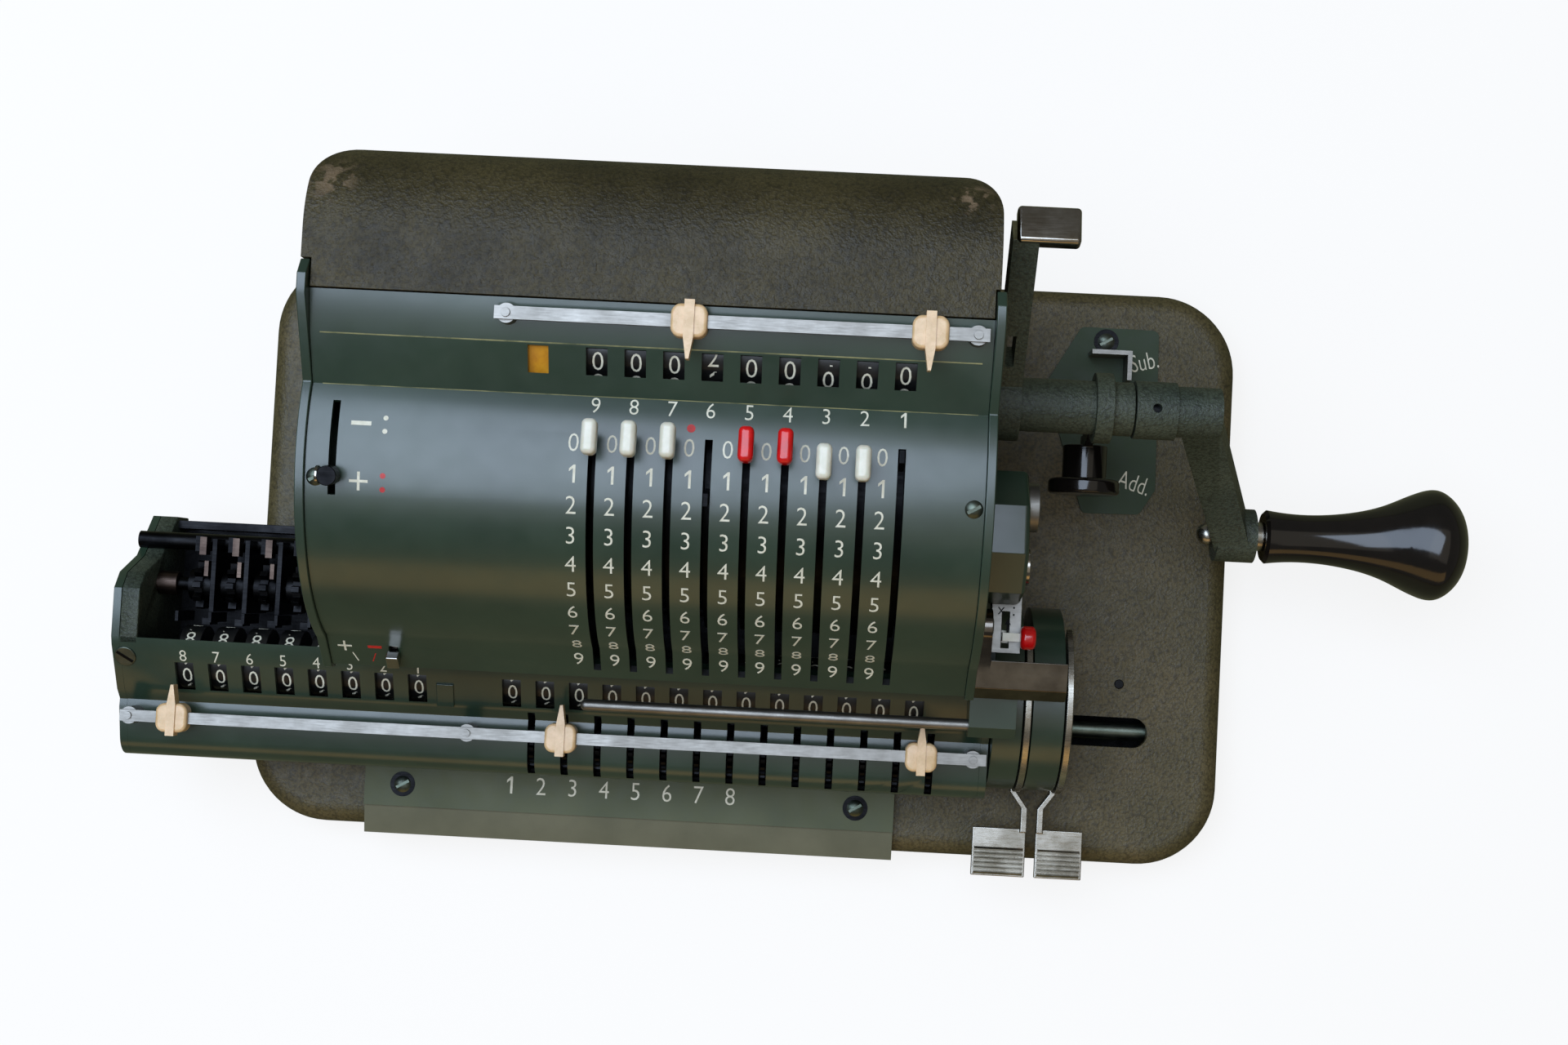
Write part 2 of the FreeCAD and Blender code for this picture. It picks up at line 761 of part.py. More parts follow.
def make_rear_cover():
    front_y = strip_back_y + rear_seat_gap
    hollow = rear_body(sheet_wall, front_y - 5, base_top - 3)
    cover = rear_body(0, front_y, base_top + rear_seat_gap).cut(hollow)
    reach = plate_back + free_gap
    for x0, x1 in ((rear_left - 1, plate_left_inner + rear_seat_gap),
                   (plate_right_inner - rear_seat_gap, plate_right + 1)):
        cover = cover.cut(box(x0, x1, front_y - 2, reach, base_top - 5, rear_top + 5))
    front_low = box(rear_left - 1, rear_right + 1, front_y - 1, front_y + rear_front_depth, base_top - 5,
                    rear_top - rear_front_open)
    return cover.cut(front_low)


def rail_with_posts(left, right, y, top_z, post_xs, seat_z):
    bar = box(left, right, y - rail_bar_width / 2, y + rail_bar_width / 2, top_z - rail_bar_thickness, top_z)
    posts = []
    for x in post_xs:
        posts.append(rod_z(x, y, seat_z, top_z - rail_bar_thickness + 0.1, rail_post_radius))
        posts.append(rod_z(x, y, top_z - 0.1, top_z + rail_rivet_height, rail_rivet_radius))
    return fuse([bar] + posts)


def make_upper_rail():
    slope = (strip_back_z - facet_back_z) / (strip_back_y - facet_back_y)
    seat = facet_back_z + (upper_rail_y - facet_back_y) * slope
    posts = (upper_rail_left + rail_post_inset, upper_rail_right - rail_post_inset)
    rail = rail_with_posts(upper_rail_left, upper_rail_right, upper_rail_y, upper_rail_z, posts,
                           seat - rail_post_sunk)
    return rail.cut(make_front_cover())


def make_pointer(x, y, rail_top, front):
    # slider wrapped round the bar, with a long tip to the digits and a short tail
    sign = -1 if front else 1
    half_w, half_l = pointer_body_width / 2, pointer_body_length / 2
    low = rail_top - rail_bar_thickness - pointer_under
    body = box(x - half_w, x + half_w, y - half_l, y + half_l, low, low + pointer_height)
    rim = [e for e in body.Edges if abs(e.tangentAt(e.FirstParameter).z) > 0.9]
    body = body.makeFillet(pointer_corner, rim)
    crown = [e for e in body.Edges if e.BoundBox.ZMin > low + pointer_height - 0.01]
    body = body.makeFillet(pointer_top_round, crown)
    tip = half_l + pointer_tip_reach
    tail = half_l + pointer_tail_reach
    wide, fine = pointer_tip_width / 2, pointer_point_width / 2
    shoulder_y, tip_y, tail_y = y + sign * half_l, y + sign * tip, y - sign * tail
    needle = prism_z(((x - wide, tail_y), (x + wide, tail_y), (x + wide, shoulder_y), (x + fine, tip_y),
                      (x - fine, tip_y), (x - wide, shoulder_y)),
                     low + pointer_needle_seat, low + pointer_height + pointer_ridge)
    slide = box(x - half_w - 1, x + half_w + 1, y - rail_bar_width / 2 - running_fit,
                y + rail_bar_width / 2 + running_fit, rail_top - rail_bar_thickness - running_fit,
                rail_top + running_fit)
    return fuse([body, needle]).cut(slide)


# drum, setting levers and check dials

def make_rotor_drum():
    left, right = lever_x(9) - 8, gear_left - rotor_wall
    shell = tube_x(left, right, drum_y, drum_z, rotor_radius, rotor_radius - rotor_wall)
    ends = [rod_x(x, x + rotor_wall, drum_y, drum_z, rotor_radius - rotor_wall / 2)
            for x in (left, right - rotor_wall)]
    shaft = rod_x(plate_left - 1, plate_right + 2, drum_y, drum_z, rotor_shaft_radius)
    root, tip = gear_pitch_radius - gear_module, gear_pitch_radius + 0.6 * gear_module
    share = 0.5 - gear_backlash / (math.pi * gear_module)
    gear = toothed_disc(gear_left, gear_left + gear_width, drum_y, drum_z, root, tip, gear_teeth, share,
                        gear_phase())
    return fuse([shell, shaft, gear] + ends)


def gear_phase():
    return math.atan2(crank_z - drum_z, crank_y - drum_y)


def lever_ring(x, width):
    return tube_x(x - width / 2, x + width / 2, drum_y, drum_z, lever_ring_radius, rotor_radius + running_fit)


def make_setting_lever(number):
    x = lever_x(number)
    angle = lever_zero_angle + lever_rest_digits[number] * lever_step
    ring = lever_ring(x, ring_width)
    top = cover_radius + (bare_stem_high if number in bare_levers else knob_low + 1)
    half_t, half_l = lever_thickness / 2, lever_stem_length / 2
    stem = box(x - half_t, x + half_t, drum_y - half_l, drum_y + half_l,
               drum_z + lever_ring_radius - 1, drum_z + top)
    pieces = [ring, turn_x(stem, drum_y, drum_z, angle)]
    if number not in bare_levers:
        half_w = knob_width / 2
        knob = box(x - half_w, x + half_w, drum_y - knob_length / 2, drum_y + knob_length / 2,
                   drum_z + cover_radius + knob_low, drum_z + cover_radius + knob_high)
        knob = knob.makeFillet(knob_round, knob.Edges)
        pieces.append(turn_x(knob, drum_y, drum_z, angle))
    return fuse(pieces)


def make_check_dial(number):
    x = lever_x(number)
    return tube_x(x - dial_width / 2, x + dial_width / 2, check_y, check_z, check_dial_radius,
                  dial_shaft_radius + running_fit)


def make_sign_lever():
    ring = lever_ring(sign_lever_x, ring_width)
    half_t, half_l = lever_thickness / 2, lever_stem_length / 2
    stem = box(sign_lever_x - half_t, sign_lever_x + half_t, drum_y - half_l, drum_y + half_l,
               drum_z + lever_ring_radius - 1, drum_z + cover_radius + sign_knob_low + 0.8)
    knob = rod_z(sign_lever_x, drum_y, drum_z + cover_radius + sign_knob_low,
                 drum_z + cover_radius + sign_knob_high, sign_knob_radius)
    bush = tube_x(plate_left_inner, sign_lever_x + sign_bush_reach, drum_y, drum_z, rotor_radius,
                  rotor_shaft_radius + sign_bush_wall)
    lever = fuse([ring, turn_x(stem, drum_y, drum_z, sign_angle), turn_x(knob, drum_y, drum_z, sign_angle)])
    return lever, bush


def make_counter_switch():
    middle = switch_slot_start + switch_slot_length / 2
    keeper_high = -sheet_wall - free_gap
    keeper_low = keeper_high - switch_keeper_thickness

    def slab(width, length, low, high):
        half_w, half_l = width / 2, length / 2
        return lip_box(switch_x - half_w, switch_x + half_w, middle - half_l, middle + half_l, low, high)

    stem = slab(switch_slot_width - 2 * free_gap, switch_stem_length, keeper_low, switch_tab_high)
    tab = slab(switch_tab_width, switch_tab_length, switch_tab_low, switch_tab_high)
    keeper = slab(switch_keeper_width, switch_tab_length, keeper_low, keeper_high)
    return fuse([stem, tab, keeper])


# carriage

def carriage_profile(back_y, bottom_z, top_back_z):
    a, b, c = bulge_points
    mid = (c[0] + bulge_swell[0], (b[1] + c[1]) / 2 + bulge_swell[1])
    points = [(back_y, bottom_z), (back_y, top_back_z), window_facet_top, window_facet_bottom, groove_point, a, b]
    edges = [line_yz(p, q) for p, q in zip(points, points[1:])]
    edges.append(arc_yz(b, mid, c))
    tail = [c, (c[0], bottom_z), (back_y, bottom_z)]
    return edges + [line_yz(p, q) for p, q in zip(tail, tail[1:])]


def register_window(x):
    return box(x - window_width / 2, x + window_width / 2, register_window_y[0], register_window_y[1],
               dial_z + 2, cover_top_z + 5)


def wheel_slot(x):
    return box(x - wheel_slot_width / 2, x + wheel_slot_width / 2, wheel_slot_y[0], wheel_slot_y[1],
               wheel_z - 2, cover_top_z)


def make_carriage_cover():
    left, right = carriage_inner_left, carriage_inner_right
    outer = edges_face_x(carriage_profile(cover_back_y, cover_bottom_z, cover_top_z), left)
    outer = outer.extrude(vec(right - left, 0, 0))
    inner = edges_face_x(carriage_profile(cover_back_y + 12, cover_bottom_z - 12, cover_top_z), left - 1)
    inner = inner.makeOffset2D(-sheet_wall).extrude(vec(right - left + 2, 0, 0))
    cuts = [register_window(result_x(n)) for n in range(result_count)]
    cuts += [register_window(counter_x(n)) for n in range(counter_count)]
    cuts += [wheel_slot(wheel_slot_first_x + n * digit_pitch) for n in range(result_count)]
    return outer.cut(inner).cut(Part.makeCompound(cuts))


def carriage_end_outline():
    a, b, c = bulge_points
    mid = (c[0] + bulge_swell[0], (b[1] + c[1]) / 2 + bulge_swell[1])
    low = carriage_floor_low
    points = [(c[0], low), (carriage_back, low), (carriage_back, carriage_end_back_z), carriage_end_step[0],
              carriage_end_step[1], (carriage_end_shoulder_y, cover_top_z), (cover_back_y, cover_top_z),
              window_facet_top, window_facet_bottom, groove_point, a, b]
    edges = [line_yz(p, q) for p, q in zip(points, points[1:])]
    edges.append(arc_yz(b, mid, c))
    edges.append(line_yz(c, (c[0], low)))
    return edges


def make_carriage_frame():
    ends = [edges_face_x(carriage_end_outline(), x).extrude(vec(carriage_end_thickness, 0, 0))
            for x in (carriage_left, carriage_inner_right)]
    floor_high = carriage_floor_low + carriage_floor_thickness
    left, right = carriage_left + carriage_floor_inset, carriage_right - carriage_floor_inset
    back = carriage_back - carriage_floor_inset
    floor = box(left, right, bulge_points[2][0] + free_gap, back, carriage_floor_low, floor_high)
    rear = box(left, right, back - carriage_rear_wall, back, carriage_floor_low, carriage_rear_top)
    shoes = [box(x - shoe_length / 2, x + shoe_length / 2, guide_y - shoe_width / 2, guide_y + shoe_width / 2,
                 guide_z - guide_rod_radius - 2, carriage_floor_low + 0.5) for x in shoe_centres]
    frame = fuse(ends + [floor, rear] + shoes)
    bores = [rod_x(carriage_left - 1, carriage_right + 1, guide_y, guide_z, guide_rod_radius + running_fit)]
    for y, z, radius in register_rods():
        bores.append(rod_x(carriage_left - 1, carriage_right + 1, y, z, radius))
    return frame.cut(Part.makeCompound(bores))


def register_rods():
    return ((dial_y, dial_z, dial_shaft_radius), (wheel_y, wheel_z, dial_shaft_radius),
            (carry_y, carry_z, dial_shaft_radius), (carry_bar_y, carry_bar_z, carry_bar_radius))


def make_register_shafts():
    rods = [rod_x(carriage_left, carriage_right, y, z, radius) for y, z, radius in register_rods()]
    return Part.makeCompound(rods)


def make_dials(places):
    bore = dial_shaft_radius + running_fit
    return Part.makeCompound([tube_x(x - dial_width / 2, x + dial_width / 2, dial_y, dial_z,
                                     register_dial_radius, bore) for x in places])


def make_setting_wheels():
    wheels = []
    for n in range(result_count):
        x = wheel_slot_first_x + n * digit_pitch
        rim = toothed_disc(x - wheel_thickness / 2, x + wheel_thickness / 2, wheel_y, wheel_z,
                           wheel_radius - wheel_tooth_depth, wheel_radius, wheel_teeth, 0.5, math.pi / 2)
        hub = rod_x(x - wheel_hub_width / 2, x + wheel_hub_width / 2, wheel_y, wheel_z, wheel_hub_radius)
        bore = rod_x(x - digit_pitch / 2, x + digit_pitch / 2, wheel_y, wheel_z, dial_shaft_radius + running_fit)
        wheels.append(fuse([rim, hub]).cut(bore))
    return Part.makeCompound(wheels)


def make_carry_wheels():
    wheels = []
    for n in range(counter_count):
        x = counter_x(n)
        pinion = toothed_disc(x - carry_width / 2, x + carry_width / 2, carry_y, carry_z,
                              carry_radius - carry_tooth_depth, carry_radius, carry_teeth, 0.5, math.pi / 2)
        hub = rod_x(x - carry_hub_width / 2, x + carry_hub_width / 2, carry_y, carry_z, carry_hub_radius)
        bore = rod_x(x - digit_pitch / 2, x + digit_pitch / 2, carry_y, carry_z, dial_shaft_radius + running_fit)
        wheels.append(fuse([pinion, hub]).cut(bore))
    return Part.makeCompound(wheels)


def make_carriage_rail():
    rail = rail_with_posts(carriage_rail_left, carriage_rail_right, carriage_rail_y, carriage_rail_z,
                           carriage_post_xs, bulge_points[0][1] - 2)
    seats = [edges_face_x(carriage_end_outline(), x).extrude(vec(carriage_end_thickness, 0, 0))
             for x in (carriage_left, carriage_inner_right)]
    return rail.cut(make_carriage_cover()).cut(Part.makeCompound(seats))


def make_clear_housing():
    segments = []
    for x0, width in ((clear_drum_left, clear_drum_width[0]), (clear_second_left, clear_drum_width[1])):
        segments.append(rod_x(x0, x0 + width, clear_y, clear_z, clear_radius))
    washer_end = clear_end + clear_washer_thickness
    spindle = rod_x(carriage_right, washer_end, clear_y, clear_z, clear_spindle_radius)
    washer = rod_x(clear_end, washer_end, clear_y, clear_z, clear_spindle_radius + clear_washer_proud)
    low = box(carriage_right - 1, washer_end + 1, clear_y - 2 * clear_radius, clear_y + 2 * clear_radius,
              0, carriage_floor_low)
    return fuse(segments + [spindle, washer]).cut(low)


def make_clear_lever(x0, tab_side, tab_width):
    # a plate round the spindle whose neck cranks sideways to a thumb tab in front
    x1 = x0 + clear_lever_thickness
    rim = clear_radius + clear_rim_proud
    disc = rod_x(x0, x1, clear_y, clear_z, rim)
    back = math.radians(clear_sector_back)
    far = 3 * rim
    wedge = prism_x(((clear_y, clear_z), (clear_y + far * math.cos(back), clear_z + far * math.sin(back)),
                     (clear_y + far, clear_z - far), (clear_y - far, clear_z - far),
                     (clear_y - far, carriage_floor_low), (clear_y - clear_spindle_radius, carriage_floor_low)),
                    x0 - 1, x1 + 1)
    hub = rod_x(x0, x1, clear_y, clear_z, 2 * clear_spindle_radius)
    disc = disc.cut(wedge)
    bend = clear_neck_bend * tab_side
    front = clear_y - clear_radius + clear_neck_overlap
    neck_y = clear_tab_back - clear_neck_overlap / 2
    knee = (front + clear_tab_back + clear_neck_overlap) / 2
    before, after = knee + clear_lever_thickness * 1.5, knee - clear_lever_thickness
    low, high = clear_tab_z - clear_neck_height / 2, clear_tab_z + clear_neck_height / 2
    neck = prism_z(((x0, front), (x1, front), (x1, before), (x1 - bend, after), (x1 - bend, neck_y),
                    (x0 - bend, neck_y), (x0 - bend, after), (x0, before)), low, high)
    tab_x0 = x0 - bend if tab_side > 0 else x1 - bend - tab_width
    tab = box(tab_x0, tab_x0 + tab_width, clear_tab_front, clear_tab_back, clear_tab_z - clear_tab_drop,
              clear_tab_z - clear_tab_drop + clear_tab_thickness)
    bore = rod_x(x0 - 1, x1 + 1, clear_y, clear_z, clear_spindle_radius + running_fit)
    return fuse([disc, hub, neck, tab]).cut(bore)


# crank and the levers on the right side

def make_crank_sleeve():
    bore = crank_shaft_radius + running_fit
    tube = tube_x(plate_right_inner, crank_sleeve_right, crank_y, crank_z, crank_sleeve_radius, bore)
    flange = tube_x(plate_right, plate_right + sleeve_flange_thickness, crank_y, crank_z, sleeve_flange_radius, bore)
    return fuse([tube, flange])


def make_crank_shaft():
    shaft = rod_x(gear_left - gear_shaft_end, crank_eye_right - crank_eye_wall, crank_y, crank_z, crank_shaft_radius)
    root, tip = gear_pitch_radius - gear_module, gear_pitch_radius + 0.6 * gear_module
    share = 0.5 - gear_backlash / (math.pi * gear_module)
    phase = gear_phase() + math.pi + math.pi / gear_teeth
    gear = toothed_disc(gear_left, gear_left + gear_width, crank_y, crank_z, root, tip, gear_teeth, share, phase)
    return fuse([shaft, gear])


def make_crank_arm():
    hub = rod_x(crank_sleeve_right + free_gap, crank_hub_right, crank_y, crank_z, crank_hub_radius)
    eye = rod_x(crank_hub_right - crank_eye_step, crank_eye_right, crank_y, crank_z,
                crank_hub_radius - crank_eye_step)
    boss = rod_x(crank_boss_left, crank_boss_right, crank_boss_y, crank_boss_z, crank_boss_radius)
    length = math.hypot(crank_boss_y - crank_y, crank_boss_z - crank_z)
    across = ((crank_boss_z - crank_z) / length, -(crank_boss_y - crank_y) / length)
    sections = []
    ends = ((crank_hub_right + crank_eye_step, crank_eye_right, crank_y, crank_z, crank_arm_half),
            (crank_boss_left, crank_boss_right - crank_eye_step, crank_boss_y, crank_boss_z, crank_arm_boss_half))
    for x0, x1, y, z, half in ends:
        dy, dz = across[0] * half, across[1] * half
        sections.append(wire_of([vec(x0, y - dy, z - dz), vec(x1, y - dy, z - dz),
                                 vec(x1, y + dy, z + dz), vec(x0, y + dy, z + dz)]))
    bar = Part.makeLoft(sections, True, True)
    shaft = rod_x(crank_sleeve_right - 1, crank_eye_right - crank_eye_wall, crank_y, crank_z, crank_shaft_radius)
    ball = rod_x(crank_boss_left - 3 * grip_pin_head_radius, crank_boss_left, crank_boss_y, crank_boss_z,
                 grip_pin_head_radius + running_fit)
    pin = rod_x(crank_boss_left - 1, crank_boss_right + 1, crank_boss_y, crank_boss_z, grip_pin_radius)
    cross = rod_z(cross_pin_x, crank_y, crank_z + crank_hub_radius - cross_pin_depth,
                  crank_z + crank_hub_radius + 1, cross_pin_radius)
    return fuse([hub, eye, bar, boss]).cut(Part.makeCompound([shaft, pin, cross, ball]))


def make_grip_pin():
    pin = rod_x(crank_boss_left - 1, grip_right - grip_pin_short, crank_boss_y, crank_boss_z, grip_pin_radius)
    ball = Part.makeSphere(grip_pin_head_radius,
                           vec(crank_boss_left - grip_pin_head_sunk, crank_boss_y, crank_boss_z))
    ball = ball.common(rod_x(crank_boss_left - 3 * grip_pin_head_radius, crank_boss_left, crank_boss_y, crank_boss_z,
                             2 * grip_pin_head_radius))
    collar = rod_x(crank_boss_right, grip_left - free_gap, crank_boss_y, crank_boss_z, grip_collar_radius)
    return fuse([pin, ball, collar])


def make_crank_grip():
    # turned handle: straight neck, flaring to a rounded end
    flare = grip_right - grip_flare_length
    step = grip_flare_length
    start = vec(grip_left + grip_chamfer, grip_neck_radius, 0)
    face_rim = vec(grip_left, grip_neck_radius - grip_chamfer, 0)
    edges = [Part.makeLine(vec(grip_left, 0, 0), face_rim), Part.makeLine(face_rim, start)]
    points = [start, vec(grip_left + grip_straight, grip_neck_radius, 0),
              vec(flare - step * 0.353, grip_neck_radius + grip_throat_rise, 0),
              vec(flare + step * 0.235, grip_flare_radius * 0.952, 0),
              vec(flare + step * 0.529, grip_flare_radius, 0),
              vec(grip_right - step * 0.235, grip_flare_radius * 0.869, 0),
              vec(grip_right - step * 0.035, grip_flare_radius - grip_end_round, 0), vec(grip_right, 0, 0)]
    curve = Part.BSplineCurve()
    curve.interpolate(points)
    edges.append(curve.toShape())
    edges.append(Part.makeLine(vec(grip_right, 0, 0), vec(grip_left, 0, 0)))
    grip = Part.Face(Part.Wire(edges)).revolve(vec(0, 0, 0), vec(1, 0, 0), 360)
    grip.translate(vec(0, crank_boss_y, crank_boss_z))
    return grip.cut(rod_x(grip_left - 1, grip_right - grip_bore_short, crank_boss_y, crank_boss_z,
                          grip_pin_radius + running_fit))


def make_setting_clear_lever():
    x0, x1 = clear_arm_left, clear_arm_left + clear_arm_width
    hub = rod_x(x0, x1, crank_y, crank_z, clear_hub_radius)
    length = math.hypot(clear_key_y - crank_y, clear_key_z - crank_z)
    lean = -math.degrees(math.atan2(clear_key_y - crank_y, clear_key_z - crank_z))
    key_low = crank_z + length + clear_key_seat
    arm = box(x0, x1, crank_y - clear_arm_half, crank_y + clear_arm_half, crank_z + clear_arm_half, key_low + 1)
    slot_left = x0 + clear_arm_slot_inset
    half = clear_arm_half + 1
    slot = box(slot_left, slot_left + clear_arm_slot_width, crank_y - half, crank_y + half,
               crank_z + clear_arm_slot[0], crank_z + clear_arm_slot[1])
    key = box(x0 + 1, x0 + 2 + clear_key_reach, crank_y - clear_key_length / 2, crank_y + clear_key_length / 2,
              key_low, key_low + clear_key_height)
    key = key.makeFillet(clear_key_round, key.Edges)
    key = turn_x(key, crank_y, crank_z + length + clear_key_hinge, clear_key_lean)
    bore = rod_x(x0 - 1, x1 + 1, crank_y, crank_z, crank_sleeve_radius + running_fit)
    lever = fuse([hub, arm, key]).cut(Part.makeCompound([slot, bore]))
    return turn_x(lever, crank_y, crank_z, lean)


def make_add_sub_lever():
    x0, x1 = add_lever_left, add_lever_left + add_lever_width
    middle = (x0 + x1) / 2
    hub = tube_x(x0, x1, crank_y, crank_z, add_hub_radius, crank_sleeve_radius + running_fit)
    half = add_stem_width / 2
    back = add_knob_y + add_flange_thickness + add_neck_length
    top = crank_z - add_stem_top
    high, low = add_knob_z + add_foot_half, add_knob_z - add_foot_half
    outline = ((crank_y - add_stem_half, top), (crank_y + add_stem_half, top), (back + add_stem_half, high),
               (back + add_stem_half, low), (back - add_foot_half, low), (back - add_foot_half, high))
    stem = prism_x(outline, middle - half, middle + half)
    flange = Part.makeCylinder(add_flange_radius, add_flange_thickness,
                               vec(middle, add_knob_y, add_knob_z), vec(0, 1, 0))
    flange = flange.makeFillet(add_flange_round, flange.Edges)
    neck = Part.makeCylinder(add_neck_radius, add_neck_length + 1,
                             vec(middle, add_knob_y + add_flange_thickness - 1, add_knob_z), vec(0, 1, 0))
    return fuse([hub, stem, neck, flange])


def make_gear_housing():
    y0, y1, z0, z1 = housing_front, housing_back, housing_low, housing_high
    outline = ((y0 + housing_foot_front, z0), (y1 - housing_foot_back, z0), (y1, z0 + housing_back_rise),
               (y1, z1 - housing_back_drop), (y1 - housing_crown_back, z1 - housing_crown_fall),
               (y0 + housing_crown_front, z1), (y0 + housing_nose_in, z1 - housing_nose_drop),
               (y0, z0 + housing_front_rise), (y0, z0 + housing_front_foot))
    housing = prism_x(outline, plate_right, housing_right)
    rim = [e for e in housing.Edges if e.BoundBox.XMin > housing_right - 0.01]
    housing = housing.makeFillet(housing_round, rim)
    shelf_left = handle_arm_left + handle_arm_width + free_gap
    shelf_back = y0 + mode_plate_overlap
    shelf = box(shelf_left, housing_right + 1, mode_slot_y[0], shelf_back, mode_plate_z - mode_plate_thickness,
                mode_plate_z)
    web = box(shelf_left, shelf_left + mode_web_thickness, mode_slot_y[0] + mode_web_drop, shelf_back,
              mode_plate_z - mode_web_drop, mode_plate_z)
    cap = rod_x(housing_right - 1, housing_right + housing_cap_proud, drum_y - housing_cap_ahead, drum_z,
                housing_cap_radius)
    shaft = rod_x(plate_right - 1, plate_right + housing_shaft_room, drum_y, drum_z, rotor_shaft_radius + 1)
    slot_right = housing_right - mode_slot_inset
    slot = box(slot_right - mode_slot_width, slot_right, mode_slot_y[0] + mode_slot_ends[0],
               mode_slot_y[1] - mode_slot_ends[1], mode_plate_z - mode_plate_thickness - 1, mode_plate_z + 1)
    return fuse([housing, shelf, web, cap]).cut(Part.makeCompound([shaft, slot]))


def make_mode_knob():
    x = housing_right - mode_slot_inset - mode_slot_width / 2
    stem_x, stem_y = mode_stem_half
    keeper_x, keeper_y = mode_keeper_half
    foot_low = mode_plate_z + free_gap
    keeper_low = mode_plate_z - mode_keeper_low
    stem = box(x - stem_x, x + stem_x, mode_knob_y - stem_y, mode_knob_y + stem_y, keeper_low + free_gap,
               foot_low + mode_foot_height)
    keeper = box(x - keeper_x, x + keeper_x, mode_knob_y - keeper_y, mode_knob_y + keeper_y, keeper_low,
                 mode_plate_z - mode_plate_thickness - mode_keeper_gap)
    foot = box(x - stem_x, x + mode_foot_right, mode_knob_y - stem_y, mode_knob_y + stem_y, foot_low,
               foot_low + mode_foot_height)
    cap = rod_x(x + mode_cap_left, x + mode_cap_right, mode_knob_y, mode_plate_z + mode_cap_rise, mode_knob_radius)
    cap = cap.makeFillet(mode_cap_round, cap.Edges)
    return fuse([stem, keeper, foot, cap])


def make_shift_handle():
    # broad thumb lever: a hub on the stud, an arm and a wide plate bent down in front
    x0 = handle_arm_left
    x1 = x0 + handle_arm_width
    hub = rod_x(x0, x1, handle_pivot_y, handle_pivot_z, handle_hub_radius)
    arm = prism_x(((handle_pivot_y, handle_pivot_z - handle_hub_radius), (bracket_back, bar_z - handle_root_drop),
                   (bracket_back, handle_z + handle_root_rise),
                   (handle_pivot_y, handle_pivot_z + handle_hub_radius)), x0, x1)
    wall = handle_thickness
    low = handle_z - handle_drop
    plate = prism_x(((handle_back, handle_z + wall), (handle_back, handle_z + 2 * wall),
                     (handle_front + handle_bend, handle_z + wall), (handle_front, handle_z - handle_drop / 2),
                     (handle_front, low), (handle_front + wall, low),
                     (handle_front + handle_bend + wall / 2, handle_z)), x0, handle_right)
    bore = rod_x(x0 - 1, x1 + 1, handle_pivot_y, handle_pivot_z, handle_stud_radius + running_fit)
    return fuse([hub, arm, plate]).cut(bore)


def make_shift_bar():
    y0, y1 = bracket_front, bracket_back
    low, high = bar_z - bracket_drop, bar_z + bracket_rise
    bevel = bracket_bevel
    outline = ((y1, low), (y1, high), (y1 - bracket_rise, high + bracket_crown), (y0 + bevel, high),
               (y0, high - bevel), (y0, low + bevel), (y0 + bevel, low))
    block = prism_x(outline, handle_arm_left, bracket_right)
    rod = rod_x(bar_left, handle_arm_left + 1, bar_y, bar_z, bar_radius)
    tip = Part.makeSphere(bar_radius, vec(bar_left, bar_y, bar_z))
    return fuse([block, rod, tip])


# the machine

def make_nodes():
    sign_lever, sign_bush = make_sign_lever()
    nodes = {
        "base_pan": make_base_pan(),
        "rubber_feet": make_rubber_feet(),
        "front_block": make_front_block(),
        "label_plates": make_label_plates(),
        "guide_rails": make_guide_rails(),
        "left_side_plate": make_left_side_plate().fuse(sign_bush).removeSplitter(),
        "right_side_plate": make_right_side_plate(),
        "frame_rods": make_frame_rods(),
        "front_cover": make_front_cover(),
        "rear_cover": make_rear_cover(),
        "upper_pointer_rail": make_upper_rail(),
        "upper_pointer_left": make_pointer(upper_pointer_xs[0], upper_rail_y, upper_rail_z, True),
        "upper_pointer_right": make_pointer(upper_pointer_xs[1], upper_rail_y, upper_rail_z, True),
        "slotted_screws": Part.makeCompound(make_slotted_screws()),
        "rotor_drum": make_rotor_drum(),
        "sign_lever": sign_lever,
        "counter_switch": make_counter_switch(),
        "carriage_frame": make_carriage_frame(),
        "carriage_cover": make_carriage_cover(),
        "carriage_pointer_rail": make_carriage_rail(),
        "register_shafts": make_register_shafts(),
        "result_dials": make_dials([result_x(n) for n in range(result_count)]),
        "counter_dials": make_dials([counter_x(n) for n in range(counter_count)]),
        "setting_wheels": make_setting_wheels(),
        "carry_wheels": make_carry_wheels(),
        "clear_housing": make_clear_housing(),
        "counter_clear_lever": make_clear_lever(counter_lever_left, -1, clear_tab_widths[0]),
        "result_clear_lever": make_clear_lever(result_lever_left, 1, clear_tab_widths[1]),
        "crank_sleeve": make_crank_sleeve(),
        "crank_shaft": make_crank_shaft(),
        "crank_arm": make_crank_arm(),
        "grip_pin": make_grip_pin(),
        "crank_grip": make_crank_grip(),
        "setting_clear_lever": make_setting_clear_lever(),
        "add_sub_lever": make_add_sub_lever(),
        "gear_housing": make_gear_housing(),
        "mode_knob": make_mode_knob(),
        "shift_handle": make_shift_handle(),
        "shift_bar": make_shift_bar(),
    }
    for name, x in zip(("left", "middle", "right"), carriage_pointer_xs):
        nodes["carriage_pointer_" + name] = make_pointer(x, carriage_rail_y, carriage_rail_z, False)
    for number in range(1, lever_count + 1):
        nodes["setting_lever_%d" % number] = make_setting_lever(number)
        nodes["check_dial_%d" % number] = make_check_dial(number)
    return nodes


def machine_shift(nodes):
    bounds = Part.makeCompound(list(nodes.values())).BoundBox
    return vec(-(bounds.XMin + bounds.XMax) / 2, -(bounds.YMin + bounds.YMax) / 2, -bounds.ZMin)


